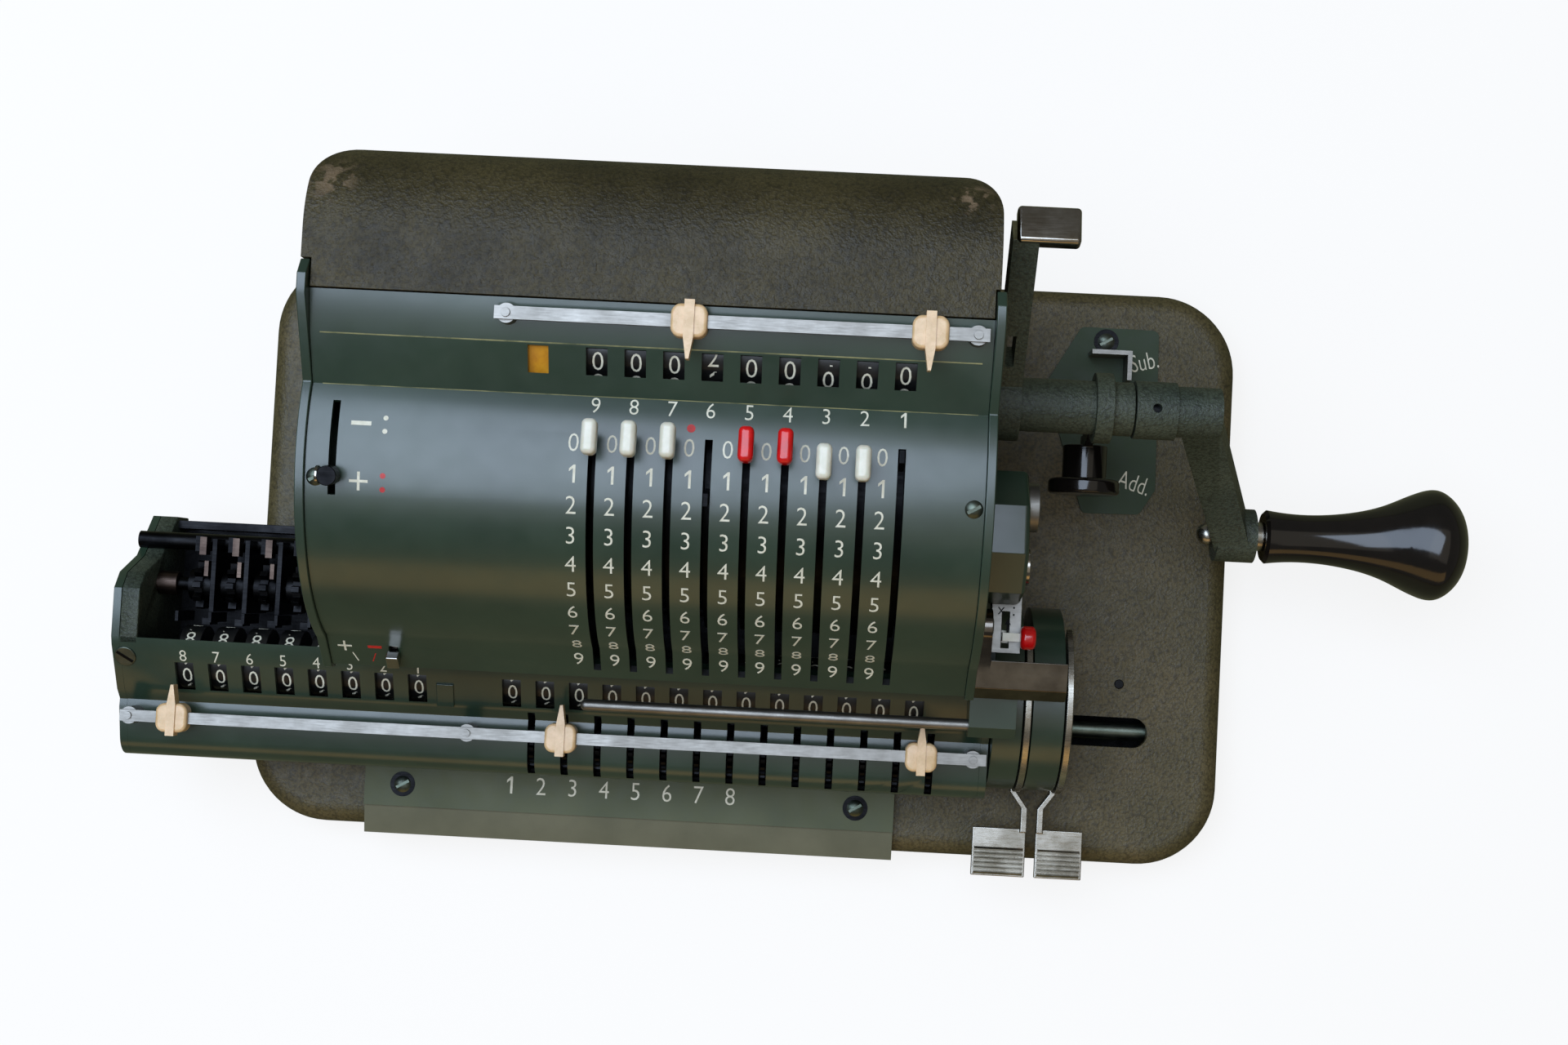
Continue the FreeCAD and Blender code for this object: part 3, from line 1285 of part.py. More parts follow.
def main():
    os.makedirs("parts", exist_ok=True)
    nodes = make_nodes()
    shift = machine_shift(nodes)
    for name, shape in nodes.items():
        shape.translate(shift)
        shape.exportStep("parts/%s.step" % name)
    print("nodes", len(nodes), "shift", [round(v, 3) for v in shift])


main()
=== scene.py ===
import bmesh
import bpy
import json
import math
from mathutils import Euler, Matrix, Vector


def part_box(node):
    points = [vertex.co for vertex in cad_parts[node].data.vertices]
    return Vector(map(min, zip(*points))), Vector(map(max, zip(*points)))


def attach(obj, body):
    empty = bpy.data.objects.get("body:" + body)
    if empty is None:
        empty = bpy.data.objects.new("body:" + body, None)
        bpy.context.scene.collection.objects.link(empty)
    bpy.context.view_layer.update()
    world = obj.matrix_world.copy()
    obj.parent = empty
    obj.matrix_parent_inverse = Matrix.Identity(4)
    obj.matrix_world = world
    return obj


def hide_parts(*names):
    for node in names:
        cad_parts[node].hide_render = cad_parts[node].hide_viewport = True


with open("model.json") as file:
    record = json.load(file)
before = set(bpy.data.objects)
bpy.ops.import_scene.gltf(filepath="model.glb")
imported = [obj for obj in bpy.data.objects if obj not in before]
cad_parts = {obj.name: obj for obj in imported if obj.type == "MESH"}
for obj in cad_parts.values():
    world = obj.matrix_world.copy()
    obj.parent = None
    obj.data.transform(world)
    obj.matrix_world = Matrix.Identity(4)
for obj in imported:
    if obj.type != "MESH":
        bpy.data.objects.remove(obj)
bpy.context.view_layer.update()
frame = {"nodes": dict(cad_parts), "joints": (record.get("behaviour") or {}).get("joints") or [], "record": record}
nodes = frame["nodes"]
record = frame["record"]
joints = {j["name"]: j for j in frame["joints"]}
bodyOf = {n: b for b, members in record["behaviour"]["bodies"].items() for n in members}
mm = 0.001
along, across, upright = Vector((1, 0, 0)), Vector((0, 1, 0)), Vector((0, 0, 1))

# the machine's own measure: mm, lever 5 at x 0, z from the table
drumHomeY = 31.2
drumAxis = Vector(joints["rotor_turn"]["pos_m"])
columnFive = sum(corner.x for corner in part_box("setting_lever_5")) / 2
panel = {"radius": 52.0, "lipAngle": 69.0, "creaseAngle": -20.0, "lipFront": (-25.6, 102.5),
         "facetBack": (61.7, 148.0), "pitch": 10.0, "zeroAngle": -6.0, "step": 9.0}
leverNumbers = range(1, 10)


def place(x, y, z):
    return Vector((columnFive + x * mm, drumAxis.y + (y - drumHomeY) * mm, z * mm))


def jointAt(name):
    return Vector(joints[name]["pos_m"])


def leverX(number):
    return (5 - number) * panel["pitch"]


def aroundAxis(x, axis, radius, degrees):
    angle = math.radians(degrees)  # 0 is straight up, positive leans to the front
    return Vector((x, axis.y - radius * math.sin(angle), axis.z + radius * math.cos(angle)))


print("frame loaded", len(nodes), "nodes")

# finishes
noiseLow, noiseHigh = 0.3, 0.7  # most of a noise texture's values lie between these


def hexColour(text):
    parts = [int(text[i:i + 2], 16) / 255 for i in (1, 3, 5)]
    return [c / 12.92 if c <= 0.04045 else ((c + 0.055) / 1.055) ** 2.4 for c in parts] + [1.0]


def perMm(size):
    return 1 / (size * mm)  # texture scale for a pattern of that many mm


def addNode(tree, kind, inputs=None, to=None, **settings):
    node = tree.nodes.new(kind)
    for name, value in settings.items():
        setattr(node, name, value)
    for socket, value in (inputs or {}).items():
        if isinstance(value, bpy.types.NodeSocket):
            tree.links.new(value, node.inputs[socket])
        else:
            node.inputs[socket].default_value = value
    if to is not None:
        tree.links.new(node.outputs[0], to)
    return node


def newFinish(name, **sockets):
    material = bpy.data.materials.new(name)
    material.use_nodes = True
    tree = material.node_tree
    shader = tree.nodes["Principled BSDF"]
    for socket, value in sockets.items():
        shader.inputs[socket.replace("_", " ")].default_value = value
    coords = addNode(tree, "ShaderNodeTexCoord").outputs["Object"]
    return material, tree, shader, coords


def mottle(tree, coords, shader, colours, patchMm, contrast=(0.35, 0.65)):
    # two tones in soft patches
    noise = addNode(tree, "ShaderNodeTexNoise",
                    {"Vector": coords, "Scale": perMm(patchMm), "Detail": 5.0, "Roughness": 0.6})
    ramp = addNode(tree, "ShaderNodeValToRGB", {"Fac": noise.outputs["Fac"]}, to=shader.inputs["Base Color"])
    for element, share, colour in zip(ramp.color_ramp.elements, contrast, colours):
        element.position = share
        element.color = hexColour(colour)
    return ramp.outputs["Color"]


def polish(tree, coords, shader, rough, patchMm):
    # gloss that wanders a little, as handled surfaces do
    noise = addNode(tree, "ShaderNodeTexNoise", {"Vector": coords, "Scale": perMm(patchMm), "Detail": 3.0})
    addNode(tree, "ShaderNodeMapRange", {"Value": noise.outputs["Fac"], "From Min": noiseLow, "From Max": noiseHigh,
                                         "To Min": rough[0], "To Max": rough[1]}, to=shader.inputs["Roughness"])


def pitted(tree, coords, shader, grainMm, detail, deepMm, strength):
    # fine grain in the surface, drawn coarser than life so that it shows
    grain = addNode(tree, "ShaderNodeTexNoise", {"Vector": coords, "Scale": perMm(grainMm), "Detail": detail})
    addNode(tree, "ShaderNodeBump", {"Height": grain.outputs["Fac"], "Distance": deepMm * mm, "Strength": strength},
            to=shader.inputs["Normal"])


def makeGreenEnamel():
    # stove enamel on steel: dark green, even and half gloss, with a faint orange peel
    material, tree, shader, coords = newFinish("greenStoveEnamel", IOR=1.5, Coat_Weight=0.5, Coat_Roughness=0.2)
    mottle(tree, coords, shader, ("#1f3024", "#28392b"), 38.0)
    polish(tree, coords, shader, (0.3, 0.38), 6.0)
    pitted(tree, coords, shader, 1.1, 2.0, 0.02, 0.25)
    return material


def makeRubbedEnamel(name, colours):
    # enamel rubbed dull by wiping: an even tone in which no lamp shows
    material, tree, shader, coords = newFinish(name, IOR=1.45, Specular_IOR_Level=0.3)
    mottle(tree, coords, shader, colours, 20.0)
    polish(tree, coords, shader, (0.5, 0.62), 5.0)
    pitted(tree, coords, shader, 0.9, 3.0, 0.03, 0.3)
    return material


wear = {"primer": "#7d6850", "raggedMm": 4.0, "raggedFrom": 0.5, "raggedTo": 0.56, "coreShare": 0.2}


def makeWrinkleEnamel(name, colours, wrinkleMm, deepMm, wornSpots=()):
    # wrinkle enamel: a skin of tiny folds that breaks up the light, with painted glints and painted shade that follow
    # the folds' height
    # real folds are about half as wide, and are drawn coarser so that they show
    material, tree, shader, coords = newFinish(name, IOR=1.5, Specular_IOR_Level=0.35)
    tone = mottle(tree, coords, shader, colours, 24.0)
    polish(tree, coords, shader, (0.4, 0.56), 3.0)
    warp = addNode(tree, "ShaderNodeTexNoise", {"Vector": coords, "Scale": perMm(wrinkleMm * 2), "Detail": 2.0})
    bent = addNode(tree, "ShaderNodeVectorMath", {0: warp.outputs["Color"], 1: (wrinkleMm * mm,) * 3},
                   operation="MULTIPLY")
    moved = addNode(tree, "ShaderNodeVectorMath", {0: coords, 1: bent.outputs["Vector"]}, operation="ADD")
    folds = addNode(tree, "ShaderNodeTexVoronoi", {"Vector": moved.outputs["Vector"], "Scale": perMm(wrinkleMm)},
                    feature="SMOOTH_F1")
    fine = addNode(tree, "ShaderNodeTexNoise", {"Vector": coords, "Scale": perMm(wrinkleMm * 0.5), "Detail": 3.0})
    height = addNode(tree, "ShaderNodeMath", {0: folds.outputs["Distance"], 1: fine.outputs["Fac"]}, operation="ADD")
    addNode(tree, "ShaderNodeBump", {"Height": height.outputs["Value"], "Distance": deepMm * mm, "Strength": 0.8},
            to=shader.inputs["Normal"])
    # painted glints and painted shade: the colour is made lighter or darker with the height of the folds
    foldShading = addNode(tree, "ShaderNodeMapRange", {"Value": height.outputs["Value"], "From Min": 0.75, "From Max": 1.25,
                                                 "To Min": 1.3, "To Max": 0.6})
    paintedFoldLight = addNode(tree, "ShaderNodeVectorMath", {0: tone, 1: foldShading.outputs["Result"]}, operation="MULTIPLY",
                    to=shader.inputs["Base Color"])
    tone = paintedFoldLight.outputs["Vector"]
    for spot, radiusMm in wornSpots:  # worn to the primer, with a ragged edge
        away = addNode(tree, "ShaderNodeVectorMath", {0: coords, 1: spot}, operation="DISTANCE")
        limit = addNode(tree, "ShaderNodeMapRange", {"Value": away.outputs["Value"], "From Min": radiusMm * mm,
                                                     "From Max": radiusMm * mm * wear["coreShare"]})
        ragged = addNode(tree, "ShaderNodeTexNoise",
                         {"Vector": coords, "Scale": perMm(wear["raggedMm"]), "Detail": 4.0})
        chips = addNode(tree, "ShaderNodeMapRange", {"Value": ragged.outputs["Fac"], "From Min": wear["raggedFrom"],
                                                     "From Max": wear["raggedTo"]})
        mask = addNode(tree, "ShaderNodeMath", {0: limit.outputs["Result"], 1: chips.outputs["Result"]},
                       operation="MULTIPLY")
        worn = addNode(tree, "ShaderNodeMix", {"Factor": mask.outputs["Value"], "A": tone,
                                               "B": hexColour(wear["primer"])}, data_type="RGBA")
        tone = worn.outputs["Result"]
        tree.links.new(tone, shader.inputs["Base Color"])
    return material


def makeMetal(name, colours, rough, scratchMm):
    # plated or turned metal: clear reflections, a little tarnish and drawn scratches
    # real scratches are far finer, and are drawn coarser so that they show
    material, tree, shader, coords = newFinish(name, Metallic=1.0)
    mottle(tree, coords, shader, colours, 9.0, (0.38, 0.7))
    drawn = addNode(tree, "ShaderNodeMapping", {"Vector": coords, "Scale": (0.08, 1.0, 1.0)})
    scratch = addNode(tree, "ShaderNodeTexNoise",
                      {"Vector": drawn.outputs["Vector"], "Scale": perMm(scratchMm), "Detail": 4.0})
    addNode(tree, "ShaderNodeMapRange", {"Value": scratch.outputs["Fac"], "From Min": noiseLow, "From Max": noiseHigh,
                                         "To Min": rough[0], "To Max": rough[1]}, to=shader.inputs["Roughness"])
    addNode(tree, "ShaderNodeBump", {"Height": scratch.outputs["Fac"], "Distance": 0.006 * mm, "Strength": 0.06},
            to=shader.inputs["Normal"])
    return material


def makeMoulded(name, colours, rough, patchMm, **sockets):
    # moulded plastic, rubber or laid-in paint: even colour with a slow mottle, polished by use
    material, tree, shader, coords = newFinish(name, **sockets)
    mottle(tree, coords, shader, colours, patchMm)
    polish(tree, coords, shader, (rough * 0.8, rough * 1.3), 4.0)
    pitted(tree, coords, shader, 0.8, 3.0, 0.012, 0.2)
    return material


rearLow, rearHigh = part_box("rear_cover")
wornCorners = [(Vector((rearLow.x + 6 * mm, rearHigh.y - 14 * mm, rearHigh.z - 8 * mm)), 9.0),
               (Vector((rearHigh.x - 8 * mm, rearHigh.y - 10 * mm, rearHigh.z - 8 * mm)), 7.0)]
casein = {"IOR": 1.54, "Subsurface_Scale": 0.001}
finishes = {
    # deep green with a soft band of light along each bend
    "green": makeGreenEnamel(),
    # brown olive, dull and crinkled, with bare primer at two corners
    "wrinkle": makeWrinkleEnamel("oliveWrinkleEnamel", ("#2b2512", "#3d351d"), 0.95, 0.3, wornCorners),
    # the same olive with shallow dimples, so it looks smoother
    "pan": makeWrinkleEnamel("oliveHammerEnamel", ("#433c23", "#51472d"), 0.9, 0.16),
    # cast arms under thick green enamel: a leathery surface
    "arm": makeWrinkleEnamel("greenHammerEnamel", ("#2d342a", "#3c4133"), 0.8, 0.22),
    # flat greens of the plates, from dark to pale
    "plate": makeRubbedEnamel("rubbedGreenEnamel", ("#2c3827", "#35422e")),
    "scalePlate": makeRubbedEnamel("rubbedOliveEnamel", ("#4d523b", "#595d45")),
    "block": makeRubbedEnamel("rubbedGreyEnamel", ("#5d5b46", "#696650")),
    # grey green screw heads with a blurred glint
    "screw": makeMetal("burnishedScrewSteel", ("#4a5248", "#6a7066"), (0.3, 0.44), 0.4),
    # mirror bright, with warm grey where the plating has dulled
    "chrome": makeMetal("chromePlate", ("#8a8478", "#aeaca8"), (0.1, 0.2), 0.35),
    # pale satin strip that takes the tint of the lamp above it
    "rail": makeMetal("brushedNickelStrip", ("#77746e", "#8d8a84"), (0.36, 0.5), 0.3),
    # darker mirror on the shift handle
    "handle": makeMetal("smokedChrome", ("#57524c", "#6f6a63"), (0.1, 0.2), 0.4),
    # bare steel, bright and slightly grained
    "steel": makeMetal("turnedSteel", ("#8e8a80", "#b5b2aa"), (0.2, 0.36), 0.3),
    # nearly black steel that shows only in its highlights; on the crank shaft, the countersinks and the end screw's
    # slot it stands as painted shade
    "dark": makeMetal("blackenedSteel", ("#131314", "#212122"), (0.3, 0.48), 0.5),
    # brown metal with a soft glow, deep in the counter mechanism
    "brass": makeMetal("dullBronze", ("#3b312c", "#574a42"), (0.3, 0.45), 0.4),
    # glossy black with sharp lights
    "bakelite": makeMoulded("blackBakelite", ("#0b0908", "#15110e"), 0.12, 20.0, IOR=1.5),
    # half gloss black behind the dial digits
    "dial": makeMoulded("blackDialLacquer", ("#0c0c0c", "#161615"), 0.34, 3.0),
    # knobs and pointers: waxy and slightly see-through
    "ivory": makeMoulded("ivoryCasein", ("#cdc8b2", "#dcd7c4"), 0.2, 4.0, Subsurface_Weight=0.08, **casein),
    "red": makeMoulded("redCasein", ("#b90a0c", "#d21214"), 0.18, 4.0, IOR=1.54),
    "beige": makeMoulded("beigeCasein", ("#cba877", "#e0bd90"), 0.26, 3.0, Subsurface_Weight=0.06, **casein),
    # warm yellow flag behind its window
    "amber": makeMoulded("amberLacquer", ("#a86c06", "#bd8210"), 0.4, 3.0),
    # matt paint in the engraved marks
    "paint": makeMoulded("creamFillingPaint", ("#c6c0a8", "#dad5c0"), 0.5, 1.5),
    "redPaint": makeMoulded("redFillingPaint", ("#a51713", "#bd221c"), 0.5, 1.5),
    # the black paint also stands as painted shade, on the slot walls and on the sheet under the guide slot
    "blackInkAndShade": makeMoulded("blackFillingPaint", ("#0b0b0b", "#141414"), 0.6, 1.5, Specular_IOR_Level=0.08),
    # painted highlight: a pale green gold strip along each bend of the cover
    "bendHighlight": makeMoulded("rubbedEnamelEdge", ("#4c5238", "#8f8a5e"), 0.4, 7.0),
    # dull grey black feet
    "rubber": makeMoulded("footRubber", ("#171614", "#201f1d"), 0.75, 3.0),
}
print("finishes made", len(finishes))

# dressing the solids
ease = {"segments": 2, "angle": 30.0, "weld": 1e-6, "flatAngle": 0.6}  # weld in metres, angles in degrees


def link(piece):
    bpy.context.scene.collection.objects.link(piece)
    return piece


def easeEdges(piece, widthMm):
    piece.data.shade_smooth()
    bevel = piece.modifiers.new("ease", "BEVEL")
    bevel.width = widthMm * mm
    bevel.segments = ease["segments"]
    bevel.limit_method = "ANGLE"
    bevel.angle_limit = math.radians(ease["angle"])
    bevel.harden_normals = True  # flat faces stay flat beside the eased edges


def settle(piece):
    # keep what the modifiers make as a plain mesh
    eased = len(piece.modifiers) > 0 and piece.modifiers[0].type == "BEVEL"
    depsgraph = bpy.context.evaluated_depsgraph_get()
    shaped = bpy.data.meshes.new_from_object(piece.evaluated_get(depsgraph))
    piece.modifiers.clear()
    piece.data = shaped
    if not eased:
        shaped.shade_smooth()
        shaped.set_sharp_from_angle(angle=math.radians(ease["angle"]))


def seat(name, mesh, look, body, bevelMm):
    # a small piece: its finish, eased edges and body
    mesh.materials.append(finishes[look])
    piece = link(bpy.data.objects.new(name, mesh))
    if bevelMm:
        easeEdges(piece, bevelMm)
    settle(piece)
    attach(piece, body)


def mergeFlats(work):
    bmesh.ops.dissolve_limit(work, angle_limit=math.radians(ease["flatAngle"]), verts=work.verts, edges=work.edges)


def dress(node, looks, bevelMm, pick=None):
    # a copy of the solid with eased edges, and a finish for each part of it
    mesh = nodes[node].data.copy()
    work = bmesh.new()
    work.from_mesh(mesh)
    bmesh.ops.remove_doubles(work, verts=work.verts, dist=ease["weld"])
    mergeFlats(work)
    work.to_mesh(mesh)
    work.free()
    if "custom_normal" in mesh.attributes:
        mesh.attributes.remove(mesh.attributes["custom_normal"])
    mesh.materials.clear()
    for look in looks:
        mesh.materials.append(finishes[look])
    for face in mesh.polygons:
        face.material_index = int(pick(face.center, face)) if pick else 0
    piece = link(bpy.data.objects.new(node + "_piece", mesh))
    easeEdges(piece, bevelMm)
    settle(piece)
    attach(piece, bodyOf[node])
    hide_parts(node)


def paintNode(node, look):
    nodes[node].data.materials.clear()
    nodes[node].data.materials.append(finishes[look])


# where one finish ends and the next begins on a solid, in mm
split = {"knobOut": 5.9, "plateThick": 1.3, "keyReach": 48.0, "stemDown": 18.0, "stemFront": 6.0,
         "bracketWide": 13.7, "capLong": 4.6, "endPlate": 2.0, "frameFloor": 27.0, "shelf": (77.5, 0.4, 84.0),
         "shelfEdge": 1.2, "shelfNear": 0.1}
knobStart = (panel["radius"] + split["knobOut"]) * mm


def onKnob(point, face):
    return math.hypot(point.y - drumAxis.y, point.z - drumAxis.z) > knobStart


redKnobs = (4, 5)
for number in leverNumbers:
    dress("setting_lever_%d" % number, ("dark", "red" if number in redKnobs else "ivory"), 0.12, onKnob)
    paintNode("check_dial_%d" % number, "dial")

# one finish each: look, and width of the eased edges in mm, or 0 for the solid as it is
simple = {
    "base_pan": ("pan", 0), "rubber_feet": ("rubber", 0), "front_block": ("block", 0.8), "guide_rails": ("screw", 0),
    "left_side_plate": ("green", 0.5), "right_side_plate": ("green", 0.5), "frame_rods": ("steel", 0),
    "rear_cover": ("wrinkle", 0.6), "upper_pointer_rail": ("rail", 0.2), "upper_pointer_left": ("beige", 0.35),
    "upper_pointer_right": ("beige", 0.35), "slotted_screws": ("screw", 0.12), "rotor_drum": ("dark", 0),
    "sign_lever": ("dark", 0.3), "counter_switch": ("chrome", 0.3), "carriage_pointer_rail": ("rail", 0.2),
    "register_shafts": ("dark", 0), "result_dials": ("dial", 0), "counter_dials": ("dial", 0.3),
    "setting_wheels": ("dark", 0), "carry_wheels": ("dark", 0.2), "clear_housing": ("green", 0.5),
    "counter_clear_lever": ("steel", 0.3), "result_clear_lever": ("steel", 0.3), "crank_sleeve": ("arm", 0.3),
    # the crank shaft is painted shade: blackened so that the oil hole in the sleeve reads dark
    "crank_shaft": ("dark", 0), "crank_arm": ("arm", 0.9), "grip_pin": ("steel", 0.3), "crank_grip": ("bakelite", 0),
    "shift_handle": ("handle", 1.3), "carriage_pointer_left": ("beige", 0.35),
    "carriage_pointer_middle": ("beige", 0.35), "carriage_pointer_right": ("beige", 0.35),
}
for node, (look, bevelMm) in simple.items():
    if bevelMm:
        dress(node, (look,), bevelMm)
    else:
        paintNode(node, look)

slots = {"half": 1.3, "endArea": 20.0, "wheelFirst": -64.3, "wheels": 13}  # mm and square mm
leverSlots = [leverX(number) for number in leverNumbers]
wheelSlots = [slots["wheelFirst"] + n * panel["pitch"] for n in range(slots["wheels"])]


def slotWall(point, face, places):
    # the cut walls of a slot, painted black as painted shade so that the slot reads dark from above
    near = any(abs(point.x - columnFive - x * mm) < slots["half"] * mm for x in places)
    return near and (abs(face.normal.x) > 0.9 or face.area < slots["endArea"] * mm * mm)


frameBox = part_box("carriage_frame")
shelfTop = place(*split["shelf"])
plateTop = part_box("label_plates")[0].z + split["plateThick"] * mm
leverHub = jointAt("add_sub_swing")
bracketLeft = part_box("shift_bar")[1].x - split["bracketWide"] * mm
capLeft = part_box("mode_knob")[1].x - split["capLong"] * mm


def insideFrame(c, f):
    inset = split["endPlate"] * mm
    return frameBox[0].x + inset < c.x < frameBox[1].x - inset and c.z > split["frameFloor"] * mm


def onShelf(c, f):
    level = c.y < shelfTop.y and abs(c.z - shelfTop.z) < split["shelfNear"] * mm
    return level or c.x > shelfTop.x + split["shelfEdge"] * mm


def onStem(c, f):
    return c.z < leverHub.z - split["stemDown"] * mm and c.y < leverHub.y - split["stemFront"] * mm


dress("front_cover", ("green", "blackInkAndShade"), 0.25, lambda c, f: slotWall(c, f, leverSlots))
dress("carriage_cover", ("green", "blackInkAndShade"), 0.25, lambda c, f: slotWall(c, f, wheelSlots))
dress("carriage_frame", ("green", "dark"), 0.4, insideFrame)
dress("gear_housing", ("green", "rail"), 0.4, onShelf)
dress("label_plates", ("scalePlate", "plate", "rail"), 0.3, lambda c, f: 0 if c.y < 0 else 2 if c.z > plateTop else 1)
dress("setting_clear_lever", ("arm", "chrome"), 0.4, lambda c, f: (c - leverHub).yz.length > split["keyReach"] * mm)
dress("add_sub_lever", ("arm", "bakelite"), 0.4, onStem)
dress("shift_bar", ("rail", "green"), 0.5, lambda c, f: c.x > bracketLeft)
dress("mode_knob", ("ivory", "red"), 0.4, lambda c, f: c.x > capLeft)
print("solids dressed")

# numerals and marks, filled with paint
ink = {"thick": 0.05, "lift": 0.03, "thinner": -0.008, "letterTall": 0.69}  # mm, then shares of the letter size
digitTurn = 36.0  # ten digits round a dial
glyphStore = {}
drawnGlyphs = {  # outlines in heights of a numeral, for the signs that have their own form
    "1": ((0.05, -0.5), (0.2, -0.5), (0.2, 0.5), (0.08, 0.5), (-0.18, 0.28), (-0.18, 0.12), (0.05, 0.3)),
    "arrow": ((0.05, -0.2), (0.05, 0.2), (0.16, 0.2), (0.0, 0.5), (-0.16, 0.2), (-0.05, 0.2), (-0.05, -0.2),
              (-0.16, -0.2), (0.0, -0.5), (0.16, -0.2)),
}
for mark, outline in drawnGlyphs.items():
    count = len(outline)
    ring = [(x, y, -0.5) for x, y in outline] + [(x, y, 0.5) for x, y in outline]
    sides = [[i, (i + 1) % count, (i + 1) % count + count, i + count] for i in range(count)]
    glyphStore[mark] = (ring, sides + [list(range(count))[::-1], list(range(count, 2 * count))])


def glyph(text):
    # a letter or word one unit tall about its middle, as points and faces
    if text not in glyphStore:
        curve = bpy.data.curves.new("glyph", "FONT")
        curve.body = text
        curve.resolution_u = 3
        curve.extrude = 0.5
        curve.offset = ink["thinner"]
        holder = link(bpy.data.objects.new("glyph", curve))
        depsgraph = bpy.context.evaluated_depsgraph_get()
        mesh = bpy.data.meshes.new_from_object(holder.evaluated_get(depsgraph))
        points = [v.co.copy() for v in mesh.vertices]
        low = [min(p[i] for p in points) for i in (0, 1)]
        high = [max(p[i] for p in points) for i in (0, 1)]
        tall = high[1] - low[1] if text.isdigit() else ink["letterTall"]
        middle = [(a + b) / 2 for a, b in zip(low, high)]
        shaped = [((p.x - middle[0]) / tall, (p.y - middle[1]) / tall, p.z) for p in points]
        glyphStore[text] = (shaped, [list(f.vertices) for f in mesh.polygons])
        bpy.data.objects.remove(holder)
        bpy.data.meshes.remove(mesh)
        bpy.data.curves.remove(curve)
    return glyphStore[text]


def inkPiece(name, marks, look, body):
    # marks: text, height in mm, width share, and the map from the flat glyph to the surface
    points, faces = [], []
    for text, tall, wide, onto in marks:
        shape, polygons = glyph(text)
        start = len(points)
        points += [onto(u * tall * wide * mm, v * tall * mm, w * ink["thick"] * mm) for u, v, w in shape]
        faces += [[start + i for i in f] for f in polygons]
    mesh = bpy.data.meshes.new(name)
    mesh.from_pydata(points, [], faces)
    work = bmesh.new()
    work.from_mesh(mesh)
    bmesh.ops.remove_doubles(work, verts=work.verts, dist=1e-8)
    bmesh.ops.recalc_face_normals(work, faces=work.faces)
    work.to_mesh(mesh)
    work.free()
    mesh.materials.append(finishes[look])
    piece = link(bpy.data.objects.new(name, mesh))
    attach(piece, body)


def ontoRound(x, axis, radiusMm, degrees):
    radius = radiusMm * mm

    def onto(u, v, w):
        return aroundAxis(x + u, axis, radius + ink["lift"] * mm + w, degrees - math.degrees(v / radius))
    return onto


def ontoFlat(middle, right, ahead):
    normal = right.cross(ahead).normalized()

    def onto(u, v, w):
        return middle + right * u + ahead * v + normal * (ink["lift"] * mm + w)
    return onto


lipTop = aroundAxis(columnFive, drumAxis, panel["radius"] * mm, panel["lipAngle"])
lipUp = (lipTop - place(0, *panel["lipFront"])).normalized()
crease = aroundAxis(columnFive, drumAxis, panel["radius"] * mm, panel["creaseAngle"])
facetTop = place(0, *panel["facetBack"])
facetUp = (facetTop - crease).normalized()


def onLip(xMm, downMm):
    spot = lipTop - lipUp * downMm * mm
    return ontoFlat(Vector((columnFive + xMm * mm, spot.y, spot.z)), along, lipUp)


def onPanel(xMm, degrees):
    return ontoRound(columnFive + xMm * mm, drumAxis, panel["radius"], degrees)


numerals = {"tall": 4.7, "wide": 0.92, "aside": -5.0, "nineDown": 4.6, "labelTall": 4.2, "labelAngle": -17.3}
panelMarks = []
for number in leverNumbers:
    x = leverX(number)
    for digit in range(9):
        onto = onPanel(x + numerals["aside"], panel["zeroAngle"] + digit * panel["step"])
        panelMarks.append((str(digit), numerals["tall"], numerals["wide"], onto))
    onto = onLip(x + numerals["aside"], numerals["nineDown"])
    panelMarks.append(("9", numerals["tall"], numerals["wide"], onto))
    panelMarks.append((str(number), numerals["labelTall"], numerals["wide"], onPanel(x, numerals["labelAngle"])))

# signs: mark, height, width share, then x and angle on the panel, or x and drop on the lip
creamSigns = (("+", 7.4, 1.0, onPanel, -100.4, 8.2), ("-", 10.0, 1.6, onPanel, -100.5, -8.5),
              ("+", 6.0, 1.0, onLip, -109.9, 4.2), ("\\", 3.4, 1.3, onLip, -107.4, 8.6),
              (".", 9.0, 1.0, onPanel, -94.2, -10.3), (".", 9.0, 1.0, onPanel, -94.2, -6.4))
redSigns = (("-", 9.0, 1.3, onLip, -101.6, 4.2), ("/", 3.4, 1.2, onLip, -102.2, 8.6),
            (".", 10.0, 1.0, onPanel, -94.1, 6.4), (".", 10.0, 1.0, onPanel, -94.1, 10.4),
            (".", 15.0, 1.0, onPanel, -14.8, -11.7))
panelMarks += [(text, tall, wide, lay(x, spot)) for text, tall, wide, lay, x, spot in creamSigns]
redMarks = [(text, tall, wide, lay(x, spot)) for text, tall, wide, lay, x, spot in redSigns]
inkPiece("panelNumerals", panelMarks, "paint", "frame")
inkPiece("panelRedMarks", redMarks, "redPaint", "frame")

scale = {"tall": 5.4, "wide": 0.9, "y": -64.6, "first": -74.9, "z": 24.0, "count": 8}
words = {"tall": 5.6, "wide": 0.68, "z": 21.2,  # x, y and turn of each word
         "at": {"Sub.": (119.6, 80.0, 14.0), "Add.": (118.0, 41.2, -16.0)}}
scaleMarks = []
for number in range(scale["count"]):
    spot = place(scale["first"] + number * panel["pitch"], scale["y"], scale["z"])
    scaleMarks.append((str(number + 1), scale["tall"], scale["wide"], ontoFlat(spot, along, across)))
for word, (x, y, degrees) in words["at"].items():
    turn = Matrix.Rotation(math.radians(degrees), 3, "Z")
    onto = ontoFlat(place(x, y, words["z"]), turn @ along, turn @ across)
    scaleMarks.append((word, words["tall"], words["wide"], onto))
inkPiece("plateNumerals", scaleMarks, "paint", "frame")

